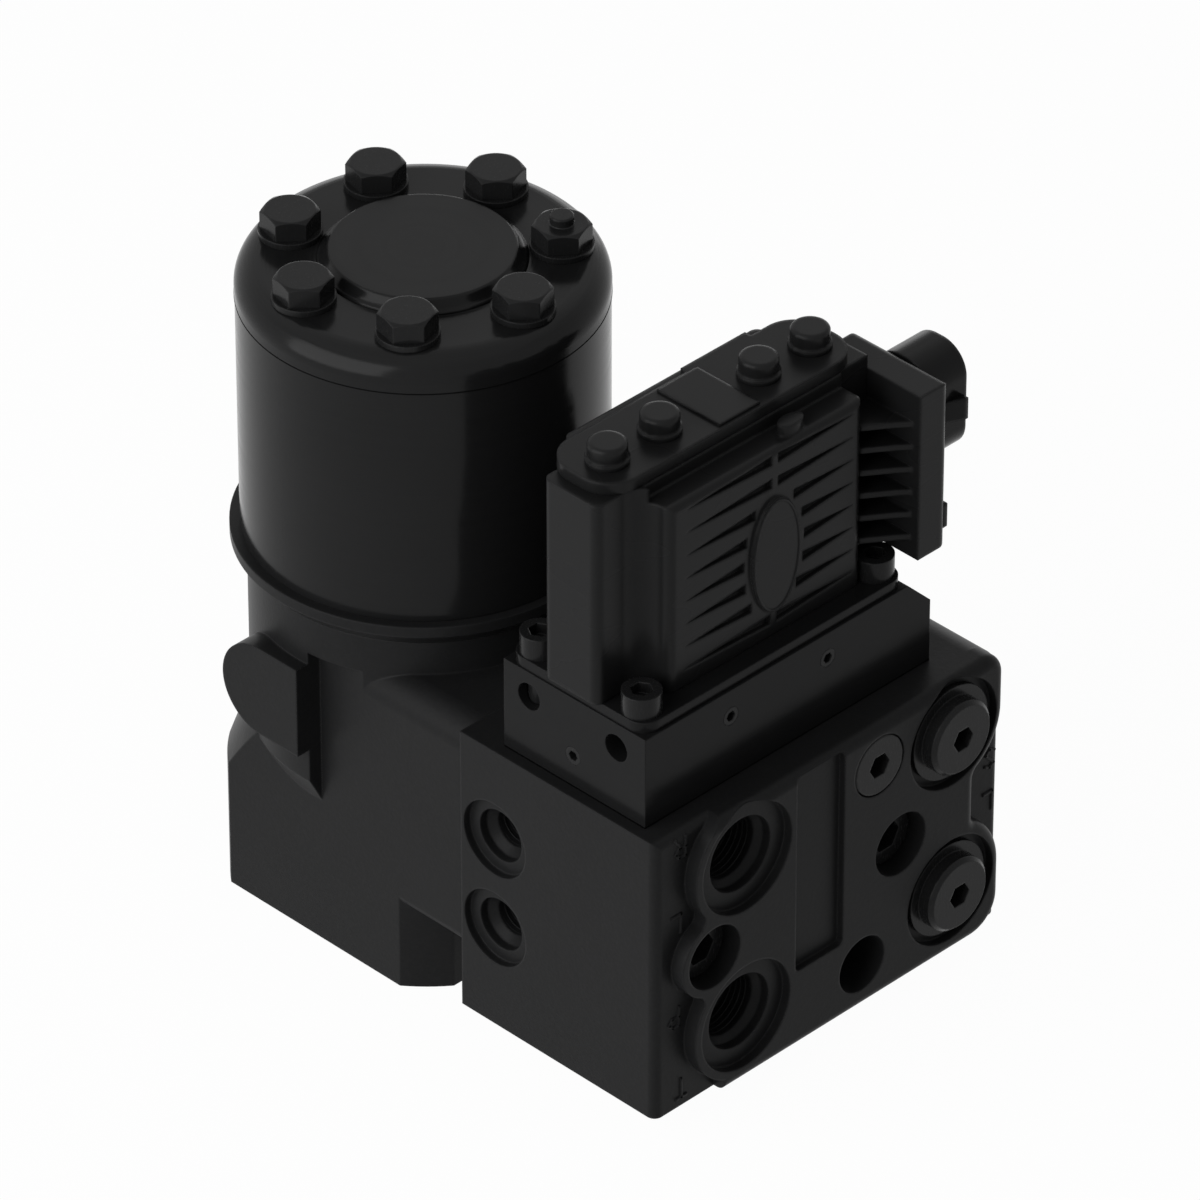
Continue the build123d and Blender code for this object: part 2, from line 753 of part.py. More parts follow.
# Spool: inner half of the rotary valve, splined to the steering column at its nose
spool_slack = spool_radius * sin(radians(neutral_angle)) + 0.1
with BuildPart() as spool:
    with BuildSketch(Plane.XY.offset(nose_end)) as nose_outline:
        Circle(nose_radius)
    extrude(amount=valve_bottom - nose_end)
    with BuildSketch(Plane.XY.offset(valve_bottom)) as spool_outline:
        Circle(spool_radius - running_clearance)
    extrude(amount=valve_top - valve_bottom)
    with BuildSketch(Plane.XY.offset(nose_end)) as column_spline:
        Circle(socket_minor_radius)
        with PolarLocations((socket_major_radius + socket_minor_radius) / 2 - 0.5, socket_teeth):
            Rectangle(socket_major_radius - socket_minor_radius + 1, 2.2)
    extrude(amount=socket_depth, mode=Mode.SUBTRACT)
    with BuildSketch(Plane.XY.offset(shaft_cavity_bottom)) as cavity_outline:
        Circle(shaft_bore_radius)
    extrude(amount=valve_top - shaft_cavity_bottom, mode=Mode.SUBTRACT)
    with BuildSketch(Plane(origin=(0, 0, pin_height), x_dir=(0, 1, 0), z_dir=(1, 0, 0))):
        Circle(pin_radius + spool_slack)
    extrude(amount=sleeve_radius, both=True, mode=Mode.SUBTRACT)
    with BuildSketch(Plane.XY.offset(spring_slot_bottom)):
        Rectangle(2 * sleeve_radius, 2 * spring_slot_half_width)
    extrude(amount=spring_slot_height, mode=Mode.SUBTRACT)
    with BuildSketch(Plane.XY.offset(valve_port_rows[0] - spool_groove_overrun)) as spool_groove_outline:
        with PolarLocations(spool_radius, valve_port_count, start_angle=180 / valve_port_count):
            Rectangle(2 * valve_groove_depth, 2 * valve_port_radius)
    extrude(amount=valve_port_rows[1] - valve_port_rows[0] + 2 * spool_groove_overrun, mode=Mode.SUBTRACT)
spool.part.label = "spool"
export_step(spool.part, "parts/spool.step")

# Cross pin: fixed in the sleeve, turns the cardan shaft's fork
with BuildPart() as cross_pin:
    with BuildSketch(Plane(origin=(0, 0, pin_height), x_dir=(0, 1, 0), z_dir=(1, 0, 0))):
        Circle(pin_radius - pin_fit)
    extrude(amount=sleeve_radius - pin_recess, both=True)
    chamfer(edges(), length=0.5)
cross_pin.part.label = "cross_pin"
export_step(cross_pin.part, "parts/cross_pin.step")

# Leaf springs: two flat leaves with two bowed leaves on each side
leaf_length = sleeve_radius - pin_recess
leaf_bow = spring_slot_half_width - 3 * leaf_thickness - 4 * leaf_gap
with BuildPart() as leaf_springs:
    for side in (1, -1):
        with BuildSketch(Plane.XY.offset(spring_slot_bottom + leaf_play)) as flat_leaf:
            with Locations((0, side * (leaf_thickness + leaf_gap) / 2)):
                Rectangle(2 * leaf_length, leaf_thickness)
        extrude(amount=spring_slot_height - 2 * leaf_play)
        for step in (1, 2):
            start = side * (step + 0.5) * leaf_gap + side * step * leaf_thickness
            with BuildSketch(Plane.XY.offset(spring_slot_bottom + leaf_play)) as bowed_leaf:
                with BuildLine():
                    inner = ThreePointArc((-leaf_length, start + side * leaf_bow), (0, start), (leaf_length, start + side * leaf_bow))
                    outer = ThreePointArc(
                        (-leaf_length, start + side * (leaf_bow + leaf_thickness)),
                        (0, start + side * leaf_thickness),
                        (leaf_length, start + side * (leaf_bow + leaf_thickness)),
                    )
                    Line(inner @ 0, outer @ 0)
                    Line(inner @ 1, outer @ 1)
                make_face()
            extrude(amount=spring_slot_height - 2 * leaf_play)
leaf_springs.part.label = "leaf_springs"
export_step(leaf_springs.part, "parts/leaf_springs.step")

# Needle thrust bearing under the valve
for name, floor in (("lower_race", bearing_bottom), ("upper_race", valve_bottom - race_thickness)):
    with BuildPart() as race:
        with BuildSketch(Plane.XY.offset(floor)):
            Circle(sleeve_radius - 0.4)
            Circle(nose_radius + 0.4, mode=Mode.SUBTRACT)
        extrude(amount=race_thickness)
    race.part.label = name
    export_step(race.part, "parts/" + name + ".step")
needle_floor = bearing_bottom + race_thickness + bearing_gap
needle_middle = (sleeve_radius + nose_radius) / 2
needle_window = 0.1
with BuildPart() as needle_cage:
    with BuildSketch(Plane.XY.offset(needle_floor + 0.3)) as cage_outline:
        Circle(sleeve_radius - 0.4)
        Circle(nose_radius + 0.4, mode=Mode.SUBTRACT)
        with PolarLocations(needle_middle, needle_count):
            Rectangle(needle_length + 2 * needle_window, 2 * (needle_radius + needle_window), mode=Mode.SUBTRACT)
    extrude(amount=2 * needle_radius - 0.6)
needle_cage.part.label = "needle_cage"
export_step(needle_cage.part, "parts/needle_cage.step")
with BuildPart() as needles:
    for index in range(needle_count):
        turn = radians(index * 360 / needle_count)
        start = needle_middle - needle_length / 2
        axis_height = needle_floor + needle_radius
        with BuildSketch(Plane(origin=(start * cos(turn), start * sin(turn), axis_height), x_dir=(0, 0, 1), z_dir=(cos(turn), sin(turn), 0))):
            Circle(needle_radius)
        extrude(amount=needle_length)
needles.part.label = "needles"
export_step(needles.part, "parts/needles.step")

# Seals round the spool's nose
seal_sizes = (
    ("dust_seal", dust_seal_bottom, dust_seal_thickness),
    ("shaft_seal", shaft_seal_bottom, shaft_seal_thickness),
)
for name, floor, thickness in seal_sizes:
    with BuildPart() as seal:
        with BuildSketch(Plane.XY.offset(floor)):
            Circle(seal_outer_radius)
            Circle(nose_radius + seal_clearance, mode=Mode.SUBTRACT)
        extrude(amount=thickness)
    seal.part.label = name
    export_step(seal.part, "parts/" + name + ".step")

# Valve block: cast body with a machined pad round the ports
block_width = block_right + block_left
block_height = block_top - block_bottom
with BuildPart() as valve_block:
    with BuildSketch(front_plane(back_face)) as block_outline:
        with Locations((block_middle_x, (block_top + block_bottom) / 2)):
            Rectangle(block_width, block_height)
        fillet(vertices().sort_by(Axis.X)[2:].sort_by(Axis.Z)[0], radius=block_corner_radius)
    extrude(amount=block_depth)
    upright_edges = faces().sort_by(Axis.Y)[0].edges().filter_by(Axis.Z)
    fillet(upright_edges, radius=block_side_radius)
    with BuildSketch(front_plane(cast_face + pad_end_radius)) as pad_outline:
        with Locations(((pad_left + pad_right) / 2, (block_top + block_bottom) / 2)):
            Rectangle(pad_right - pad_left, block_height)
        with Locations(*open_ports):
            Circle(left_pad_radius)
        with Locations(*plugged_ports):
            Circle(right_pad_radius)
        with Locations(block_screw_places[0]):
            Circle(screw_pad_radius)
        with Locations((right_port_x + right_pad_radius / 2, (block_top + upper_port_z) / 2)):
            Rectangle(right_pad_radius, block_top - upper_port_z)
        with Locations((right_port_x + right_pad_radius / 2, (block_bottom + lower_port_z) / 2)):
            Rectangle(right_pad_radius, lower_port_z - block_bottom)
        with Locations((block_middle_x, (block_top + block_bottom) / 2)):
            Rectangle(block_width, block_height, mode=Mode.INTERSECT)
        fillet(vertices().sort_by(Axis.Y)[-2:].sort_by(Axis.X)[-1], radius=pad_upper_radius)
        fillet(vertices().sort_by(Axis.Y)[:2].sort_by(Axis.X)[-1], radius=block_corner_radius)
        hollow_corners = vertices().filter_by_position(Axis.Y, block_bottom + 3, upper_port_z - 3)
        fillet(hollow_corners.filter_by_position(Axis.Y, lower_port_z + 3, upper_port_z), radius=pad_corner_radius)
    extrude(amount=pad_height + pad_end_radius)
    end_edges = faces().sort_by(Axis.Y)[0].edges().filter_by(Axis.X)
    fillet(end_edges, radius=pad_end_radius)
    # tapped ports with their spotfaces and throats
    for places in (open_ports, plugged_ports):
        with BuildSketch(front_plane(pad_face)):
            with Locations(*places):
                Circle(spotface_radius)
        extrude(amount=-spotface_depth, mode=Mode.SUBTRACT)
        with BuildSketch(front_plane(port_floor)):
            with Locations(*places):
                Circle(port_core_radius)
        extrude(amount=-port_thread_depth, mode=Mode.SUBTRACT)
        with BuildSketch(front_plane(port_floor)):
            with Locations(*places):
                Circle(port_mouth_radius)
        extrude(amount=-port_mouth_depth, mode=Mode.SUBTRACT)
        with BuildSketch(front_plane(port_floor + port_mouth_depth)):
            with Locations(*places):
                Circle(port_mouth_radius)
        extrude(amount=-(port_mouth_radius - port_core_radius), taper=45, mode=Mode.SUBTRACT)
    with BuildSketch(front_plane(port_floor + port_thread_depth)) as throat_outline:
        with Locations(*open_ports):
            Circle(port_throat_radius)
    extrude(amount=-port_throat_depth, mode=Mode.SUBTRACT)
    with BuildSketch(front_plane(port_floor + port_thread_depth)) as block_gallery_outline:
        with Locations(*gallery_places):
            Circle(gallery_radius)
    extrude(amount=-(back_face - port_floor - port_thread_depth), mode=Mode.SUBTRACT)
    # steering ports on the left side
    for height in side_port_heights:
        with BuildSketch(left_plane(-block_left)):
            with Locations((-side_port_y, height)):
                Circle(side_spotface_radius)
        extrude(amount=-side_spotface_depth, mode=Mode.SUBTRACT)
        with BuildSketch(left_plane(side_port_floor)):
            with Locations((-side_port_y, height)):
                Circle(side_port_mouth)
        extrude(amount=-side_port_mouth_depth, mode=Mode.SUBTRACT)
        with BuildSketch(left_plane(side_port_floor + side_port_mouth_depth)):
            with Locations((-side_port_y, height)):
                Circle(side_port_mouth)
        extrude(amount=-(side_port_mouth - side_port_core), taper=45, mode=Mode.SUBTRACT)
        with BuildSketch(left_plane(-block_left)):
            with Locations((-side_port_y, height)):
                Circle(side_port_core)
        extrude(amount=-side_port_depth, mode=Mode.SUBTRACT)
        with BuildSketch(left_plane(-block_left)):
            with Locations((-side_port_y, height)):
                Circle(side_gallery_radius)
        extrude(amount=-(block_left + side_gallery_x + cross_gallery_radius + drill_overrun), mode=Mode.SUBTRACT)
        with BuildSketch(front_plane(back_face)):
            with Locations((side_gallery_x, height)):
                Circle(cross_gallery_radius)
        extrude(amount=back_face - side_port_y + drill_overrun, mode=Mode.SUBTRACT)
    # holes for the long screws into the housing
    with BuildSketch(front_plane(pad_face)) as screw_counterbores:
        with Locations(*block_screw_places):
            Circle(block_screw_counterbore)
    extrude(amount=-block_screw_counterbore_depth, mode=Mode.SUBTRACT)
    with BuildSketch(front_plane(pad_face)) as screw_holes:
        with Locations(*block_screw_places):
            Circle(block_screw_hole)
    extrude(amount=-(block_depth + pad_height), mode=Mode.SUBTRACT)
    # deep plain hole, flush plug's hole and the shallow field between the ports
    with BuildSketch(front_plane(pad_face)) as dowel_outline:
        with Locations((dowel_hole_x, dowel_hole_z)):
            Circle(dowel_hole_radius)
    extrude(amount=-dowel_hole_depth, mode=Mode.SUBTRACT)
    with BuildSketch(front_plane(pad_face)) as flush_outline:
        with Locations((flush_plug_x, flush_plug_z)):
            Circle(flush_plug_radius + flush_plug_play)
    extrude(amount=-flush_plug_length, mode=Mode.SUBTRACT)
    with BuildSketch(front_plane(pad_face)) as relief_outline:
        with Locations((flush_plug_x, flush_plug_z)):
            Circle(relief_bore_radius)
    extrude(amount=-relief_bore_end, mode=Mode.SUBTRACT)
    with BuildSketch(front_plane(pad_face)) as field_outline:
        with Locations(((recess_left + recess_right) / 2, (recess_bottom + recess_top) / 2)):
            RectangleRounded(recess_right - recess_left, recess_top - recess_bottom, recess_corner_radius)
    extrude(amount=-recess_depth, mode=Mode.SUBTRACT)
    # check valve's bore at the back of the pressure gallery
    with BuildSketch(front_plane(back_face)) as check_outline:
        with Locations(pressure_port):
            Circle(check_bore_radius)
    extrude(amount=check_bore_depth, mode=Mode.SUBTRACT)
    # bore of the directional spool, open at the right
    with BuildSketch(Plane(origin=(main_bore_end, main_bore_y, main_bore_z), x_dir=(0, 1, 0), z_dir=(1, 0, 0))) as main_bore:
        Circle(main_bore_radius)
    extrude(amount=block_right - main_bore_end, mode=Mode.SUBTRACT)
    # tapped hole for the plug under the block
    with BuildSketch(Plane.XY.offset(block_bottom)) as sump_outline:
        with Locations((sump_plug_x, sump_plug_y)):
            Circle(sump_plug_core)
    extrude(amount=sump_plug_length, mode=Mode.SUBTRACT)
    # tapped holes for the module's screws
    with BuildSketch(Plane.XY.offset(block_top)) as module_thread_outline:
        with Locations((module_x, module_y)):
            with GridLocations(2 * plate_screw_x, 2 * plate_screw_y, 2, 2):
                Circle(plate_screw_core)
    extrude(amount=-plate_screw_length, mode=Mode.SUBTRACT)
valve_block.part.label = "valve_block"
export_step(valve_block.part, "parts/valve_block.step")

# Long screws that hold the block to the housing
screw_seat = pad_face + block_screw_counterbore_depth
with BuildPart() as block_screws:
    with BuildSketch(front_plane(screw_seat)):
        with Locations(*block_screw_places):
            Circle(block_screw_head_radius)
    extrude(amount=block_screw_head_height)
    with BuildSketch(front_plane(screw_seat - block_screw_head_height)):
        with Locations(*block_screw_places):
            hexagon(block_screw_hex)
    extrude(amount=-block_screw_head_height / 2, mode=Mode.SUBTRACT)
    with BuildSketch(front_plane(screw_seat)):
        with Locations(*block_screw_places):
            Circle(block_screw_shank)
    extrude(amount=-(back_face - screw_seat))
    with BuildSketch(front_plane(back_face)):
        with Locations(*block_screw_places):
            Circle(block_screw_core - thread_fit)
    extrude(amount=-block_screw_engagement)
block_screws.part.label = "block_screws"
export_step(block_screws.part, "parts/block_screws.step")

# Plugs in the two unused ports
with BuildPart() as port_plugs:
    with BuildSketch(front_plane(port_floor)):
        with Locations(*plugged_ports):
            Circle(plug_flange_radius)
    extrude(amount=plug_flange_height)
    with BuildSketch(front_plane(port_floor)):
        with Locations(*plugged_ports):
            Circle(plug_head_radius)
    extrude(amount=plug_head_height)
    chamfer(faces().sort_by(Axis.Y)[:2].edges(), length=plug_head_chamfer)
    with BuildSketch(front_plane(port_floor - plug_head_height)):
        with Locations(*plugged_ports):
            hexagon(plug_hex)
    extrude(amount=-plug_hex_depth, mode=Mode.SUBTRACT)
    with BuildSketch(front_plane(port_floor)):
        with Locations(*plugged_ports):
            Circle(port_core_radius - thread_fit)
    extrude(amount=-port_thread_depth + 4)
port_plugs.part.label = "port_plugs"
export_step(port_plugs.part, "parts/port_plugs.step")

# Flush plug that closes the relief valve's bore
with BuildPart() as flush_plug:
    with BuildSketch(front_plane(pad_face)):
        with Locations((flush_plug_x, flush_plug_z)):
            Circle(flush_plug_radius)
    extrude(amount=-flush_plug_length)
    chamfer(faces().sort_by(Axis.Y)[0].edges(), length=0.5)
    with BuildSketch(front_plane(pad_face)):
        with Locations((flush_plug_x, flush_plug_z)):
            hexagon(flush_plug_hex)
    extrude(amount=-plug_hex_depth, mode=Mode.SUBTRACT)
flush_plug.part.label = "flush_plug"
export_step(flush_plug.part, "parts/flush_plug.step")

# Relief valve: seat at the end of its bore, poppet on the seat
relief_end = pad_face + relief_bore_end
relief_seat_face = relief_end - relief_seat_length
with BuildPart() as relief_seat:
    with BuildSketch(front_plane(relief_end)):
        with Locations((flush_plug_x, flush_plug_z)):
            Circle(relief_bore_radius)
            Circle(relief_seat_hole, mode=Mode.SUBTRACT)
    extrude(amount=relief_seat_length)
relief_seat.part.label = "relief_seat"
export_step(relief_seat.part, "parts/relief_seat.step")

relief_axis = Plane(origin=(flush_plug_x, 0, flush_plug_z), x_dir=(1, 0, 0), z_dir=(0, 0, 1))
poppet_back = relief_seat_face - relief_cone_length - relief_poppet_length
with BuildPart() as relief_poppet:
    with BuildSketch(relief_axis) as poppet_outline:
        with BuildLine():
            Polyline(
                (0, relief_seat_face - 0.1),
                (relief_seat_hole - 0.3, relief_seat_face - 0.1),
                (relief_poppet_radius, relief_seat_face - relief_cone_length),
                (relief_poppet_radius, poppet_back),
                (relief_spigot_radius, poppet_back),
                (relief_spigot_radius, poppet_back - relief_spigot_length),
                (0, poppet_back - relief_spigot_length),
                close=True,
            )
        make_face()
    revolve(axis=Axis((flush_plug_x, 0, flush_plug_z), (0, 1, 0)))
relief_poppet.part.label = "relief_poppet"
export_step(relief_poppet.part, "parts/relief_poppet.step")

# Check valve: seat, ball and slotted stop ring in the pressure gallery
check_floor = back_face - check_bore_depth
check_seat_face = check_floor + check_seat_length
ball_seat_depth = sqrt(check_ball_radius ** 2 - check_seat_hole ** 2)
ball_y = check_seat_face + ball_seat_depth + 0.05
stop_depth = sqrt(check_ball_radius ** 2 - check_stop_hole ** 2)
stop_y = ball_y + check_travel + stop_depth + 0.05
for name, start, thickness, hole in (
    ("check_seat", check_floor, check_seat_length, check_seat_hole),
    ("check_stop", stop_y, check_stop_thickness, check_stop_hole),
):
    with BuildPart() as ring:
        with BuildSketch(front_plane(start)):
            with Locations(pressure_port):
                Circle(check_bore_radius)
                Circle(hole, mode=Mode.SUBTRACT)
        extrude(amount=-thickness)
    ring.part.label = name
    export_step(ring.part, "parts/" + name + ".step")
with BuildPart() as check_ball:
    with Locations((pressure_port[0], ball_y, pressure_port[1])):
        Sphere(check_ball_radius)
check_ball.part.label = "check_ball"
export_step(check_ball.part, "parts/check_ball.step")

# Directional spool: lands and waists, a spring and a cup at each end, a plug at the right
spool_axis = Plane(origin=(0, main_bore_y, main_bore_z), x_dir=(1, 0, 0), z_dir=(0, 0, 1))
spool_left = main_spool_centre - main_spool_length / 2
land_radius = main_bore_radius - running_clearance
land_length = main_spool_length / 7
with BuildPart() as block_spool:
    with BuildSketch(Plane(origin=(spool_left, main_bore_y, main_bore_z), x_dir=(0, 1, 0), z_dir=(1, 0, 0))):
        Circle(main_spool_waist)
    extrude(amount=main_spool_length)
    for index in range(4):
        land_start = spool_left + 2 * index * land_length
        with BuildSketch(Plane(origin=(land_start, main_bore_y, main_bore_z), x_dir=(0, 1, 0), z_dir=(1, 0, 0))):
            Circle(land_radius)
        extrude(amount=land_length)
block_spool.part.label = "block_spool"
export_step(block_spool.part, "parts/block_spool.step")

with BuildPart() as bore_plug:
    with BuildSketch(Plane(origin=(block_right, main_bore_y, main_bore_z), x_dir=(0, 1, 0), z_dir=(1, 0, 0))):
        Circle(main_bore_radius - thread_fit)
    extrude(amount=-bore_plug_length)
    with BuildSketch(Plane(origin=(block_right, main_bore_y, main_bore_z), x_dir=(0, 1, 0), z_dir=(1, 0, 0))):
        Circle(bore_plug_head_radius)
    extrude(amount=bore_plug_head)
    chamfer(faces().sort_by(Axis.X)[-1].edges(), length=0.6)
    with BuildSketch(Plane(origin=(block_right + bore_plug_head, main_bore_y, main_bore_z), x_dir=(0, 1, 0), z_dir=(1, 0, 0))):
        hexagon(plug_hex)
    extrude(amount=-plug_hex_depth, mode=Mode.SUBTRACT)
bore_plug.part.label = "bore_plug"
export_step(bore_plug.part, "parts/bore_plug.step")

# Coil springs: at both ends of the directional spool, and behind the relief poppet
spool_right = spool_left + main_spool_length
right_chamber = block_right - bore_plug_length
plug_end = pad_face + flush_plug_length
springs = (
    ("left_spring", (main_bore_end, main_bore_y, main_bore_z), (1, 0, 0), spool_left - main_bore_end,
     main_spring_radius, main_spring_turns),
    ("right_spring", (spool_right, main_bore_y, main_bore_z), (1, 0, 0), right_chamber - spool_right,
     main_spring_radius, main_spring_turns),
    ("relief_spring", (flush_plug_x, plug_end, flush_plug_z), (0, 1, 0), poppet_back - plug_end,
     relief_spring_radius, relief_spring_turns),
)
for name, start, direction, length, radius, turns in springs:
    wire_rise = (length - 2 * wire_radius - 2 * spring_gap) / turns
    foot = Vector(*start) + Vector(*direction) * (wire_radius + spring_gap)
    with BuildPart() as spring:
        with BuildLine() as wire_path:
            Helix(pitch=wire_rise, height=wire_rise * turns, radius=radius, center=foot, direction=direction)
        with BuildSketch(Plane(origin=wire_path.line @ 0, z_dir=wire_path.line % 0)):
            RegularPolygon(radius=wire_radius, side_count=6)
        sweep(path=wire_path.line, is_frenet=True)
    spring.part.label = name
    export_step(spring.part, "parts/" + name + ".step")

# Hexagon plug under the block
with BuildPart() as sump_plug:
    with BuildSketch(Plane.XY.offset(block_bottom)):
        with Locations((sump_plug_x, sump_plug_y)):
            hexagon(sump_plug_width)
    extrude(amount=-sump_plug_height)
    with BuildSketch(Plane.XY.offset(block_bottom)):
        with Locations((sump_plug_x, sump_plug_y)):
            Circle(sump_plug_core - thread_fit)
    extrude(amount=sump_plug_length - 1)
sump_plug.part.label = "sump_plug"
export_step(sump_plug.part, "parts/sump_plug.step")

# Adaptor plate between the block and the module
adaptor_middle_x = (adaptor_left + adaptor_right) / 2
adaptor_middle_y = (adaptor_front + adaptor_back) / 2
with BuildPart() as adaptor_plate:
    with BuildSketch(front_plane(adaptor_back)) as adaptor_outline:
        with BuildLine():
            Polyline(
                (adaptor_left, block_top),
                (adaptor_right, block_top),
                (adaptor_right, adaptor_top - adaptor_notch),
                (adaptor_right - adaptor_notch, adaptor_top),
                (adaptor_left, adaptor_top),
                close=True,
            )
        make_face()
    extrude(amount=adaptor_back - adaptor_front)
    with BuildSketch(left_plane(adaptor_left)):
        with Locations(*[(-y, adaptor_hole_z) for y in adaptor_hole_places]):
            Circle(adaptor_hole_radius)
    extrude(amount=-adaptor_hole_depth, mode=Mode.SUBTRACT)
    with BuildSketch(left_plane(adaptor_left)):
        with Locations((-side_set_screw[0], side_set_screw[1])):
            Circle(set_screw_radius)
    extrude(amount=-set_screw_length, mode=Mode.SUBTRACT)
    with BuildSketch(front_plane(adaptor_front)):
        with Locations(*front_set_screws):
            Circle(set_screw_radius)
    extrude(amount=-set_screw_length, mode=Mode.SUBTRACT)
    with BuildSketch(Plane.XY.offset(adaptor_top)):
        with Locations((module_x, module_y)):
            with GridLocations(2 * plate_screw_x, 2 * plate_screw_y, 2, 2):
                Circle(plate_screw_shank + 0.2)
    extrude(amount=-adaptor_height, mode=Mode.SUBTRACT)
adaptor_plate.part.label = "adaptor_plate"
export_step(adaptor_plate.part, "parts/adaptor_plate.step")

# Set screws that close the drilled ways of the adaptor plate
with BuildPart() as set_screws:
    with BuildSketch(left_plane(adaptor_left)):
        with Locations((-side_set_screw[0], side_set_screw[1])):
            Circle(set_screw_radius)
            with BuildSketch(mode=Mode.PRIVATE) as side_key:
                hexagon(set_screw_hex)
            add(side_key.sketch, mode=Mode.SUBTRACT)
    extrude(amount=-set_screw_length)
    with BuildSketch(front_plane(adaptor_front)):
        with Locations(*front_set_screws):
            Circle(set_screw_radius)
            RegularPolygon(radius=set_screw_hex / sqrt(3), side_count=6, mode=Mode.SUBTRACT)
    extrude(amount=-set_screw_length)
set_screws.part.label = "set_screws"
export_step(set_screws.part, "parts/set_screws.step")

# Base plate of the module
with BuildPart() as base_plate:
    with BuildSketch(Plane.XY.offset(adaptor_top)):
        with Locations((module_x, module_y)):
            RectangleRounded(base_length, base_width, base_corner_radius)
            with GridLocations(2 * plate_screw_x, 2 * plate_screw_y, 2, 2):
                Circle(plate_screw_shank + 0.2, mode=Mode.SUBTRACT)
    extrude(amount=base_thickness)
base_plate.part.label = "base_plate"
export_step(base_plate.part, "parts/base_plate.step")

# Screws of the module
with BuildPart() as module_screws:
    with BuildSketch(Plane.XY.offset(base_top)):
        with Locations((module_x, module_y)):
            with GridLocations(2 * plate_screw_x, 2 * plate_screw_y, 2, 2):
                Circle(plate_screw_head_radius)
    extrude(amount=plate_screw_head_height)
    with BuildSketch(Plane.XY.offset(base_top + plate_screw_head_height)):
        with Locations((module_x, module_y)):
            with GridLocations(2 * plate_screw_x, 2 * plate_screw_y, 2, 2):
                hexagon(plate_screw_hex)
    extrude(amount=-plate_screw_head_height / 2, mode=Mode.SUBTRACT)
    with BuildSketch(Plane.XY.offset(base_top)):
        with Locations((module_x, module_y)):
            with GridLocations(2 * plate_screw_x, 2 * plate_screw_y, 2, 2):
                Circle(plate_screw_shank)
    extrude(amount=-base_thickness - adaptor_height)
    with BuildSketch(Plane.XY.offset(block_top)):
        with Locations((module_x, module_y)):
            with GridLocations(2 * plate_screw_x, 2 * plate_screw_y, 2, 2):
                Circle(plate_screw_core - thread_fit)
    extrude(amount=-plate_screw_length + 1)
module_screws.part.label = "module_screws"
export_step(module_screws.part, "parts/module_screws.step")

# Module housing: panel with tapered ribs, narrower ends, hollows round the screws
panel_middle_x = (panel_left + panel_right) / 2
rib_left_end = panel_left + module_edge_radius + rib_margin
rib_right_end = panel_right - rib_margin
strip_level = module_top - strip_drop
arc_inset = module_top_radius * (1 - sqrt(0.5))
with BuildPart() as module_housing:
    with BuildSketch(Plane.XY.offset(base_top)) as module_outline:
        with Locations((panel_middle_x, module_y)):
            Rectangle(panel_right - panel_left, module_back - module_front)
        with Locations(((end_left + tower_left) / 2, module_y)):
            Rectangle(tower_left - end_left, 2 * end_half_width)
    extrude(amount=module_height)
    fillet(edges().filter_by(Axis.Z).group_by(Axis.X)[1].sort_by(Axis.Y)[1:3], radius=screw_relief_radius)
    fillet(edges().filter_by(Axis.Z).group_by(Axis.X)[0], radius=module_edge_radius)
    fillet(edges().filter_by(Axis.Z).group_by(Axis.Y)[0], radius=module_edge_radius)
    fillet(edges().filter_by(Axis.Z).group_by(Axis.Y)[-1], radius=module_edge_radius)
    with BuildSketch(front_plane(module_front)) as rib_outline:
        for row in range(rib_rows):
            height = rib_first + row * rib_pitch
            reach = (height - badge_z) / (badge_half_height + badge_rim + 1)
            half = 1.0
            if abs(reach) < 1:
                half = (badge_half_width + badge_rim + 1) * sqrt(1 - reach * reach)
            for end, root in ((rib_left_end, badge_x - half), (rib_right_end, badge_x + half)):
                with BuildLine():
                    Polyline((end, height), (root, height - rib_height / 2), (root, height + rib_height / 2), close=True)
                make_face()
    extrude(amount=-rib_depth, mode=Mode.SUBTRACT)
    with BuildSketch(front_plane(module_front)) as badge_outline:
        with Locations((badge_x, badge_z)):
            Ellipse(badge_half_width, badge_half_height)
    extrude(amount=badge_height)
    # lower strip in front of the lid, with the vent boss
    with BuildSketch(Plane.YZ.offset(panel_left - 1)) as strip_outline:
        with BuildLine():
            Polyline(
                (module_front, strip_level - module_top_radius),
                (module_front - module_top_radius, strip_level - module_top_radius),
                (module_front - module_top_radius, module_top + 1),
                (strip_back, module_top + 1),
                (strip_back, strip_level),
                (module_front + module_top_radius, strip_level),
            )
            ThreePointArc(
                (module_front + module_top_radius, strip_level),
                (module_front + arc_inset, strip_level - arc_inset),
                (module_front, strip_level - module_top_radius),
            )
        make_face()
    extrude(amount=panel_right - panel_left + 2, mode=Mode.SUBTRACT)
    with BuildSketch(Plane.XY.offset(module_top - strip_drop)) as vent_outline:
        with Locations((vent_x, vent_y)):
            Ellipse(vent_half_length, vent_half_width)
    extrude(amount=vent_height)
module_housing.part.label = "module_housing"
export_step(module_housing.part, "parts/module_housing.step")

# Lid
with BuildPart() as module_lid:
    with BuildSketch(Plane.XY.offset(module_top)) as lid_outline:
        with Locations(((lid_left + lid_right) / 2, (lid_front + lid_back) / 2)):
            RectangleRounded(lid_right - lid_left, lid_back - lid_front, lid_end_radius)
        with Locations(((lid_tab_left + lid_tab_right) / 2, lid_back)):
            Rectangle(lid_tab_right - lid_tab_left, 2 * lid_tab_depth)
    extrude(amount=lid_thickness)
module_lid.part.label = "module_lid"
export_step(module_lid.part, "parts/module_lid.step")

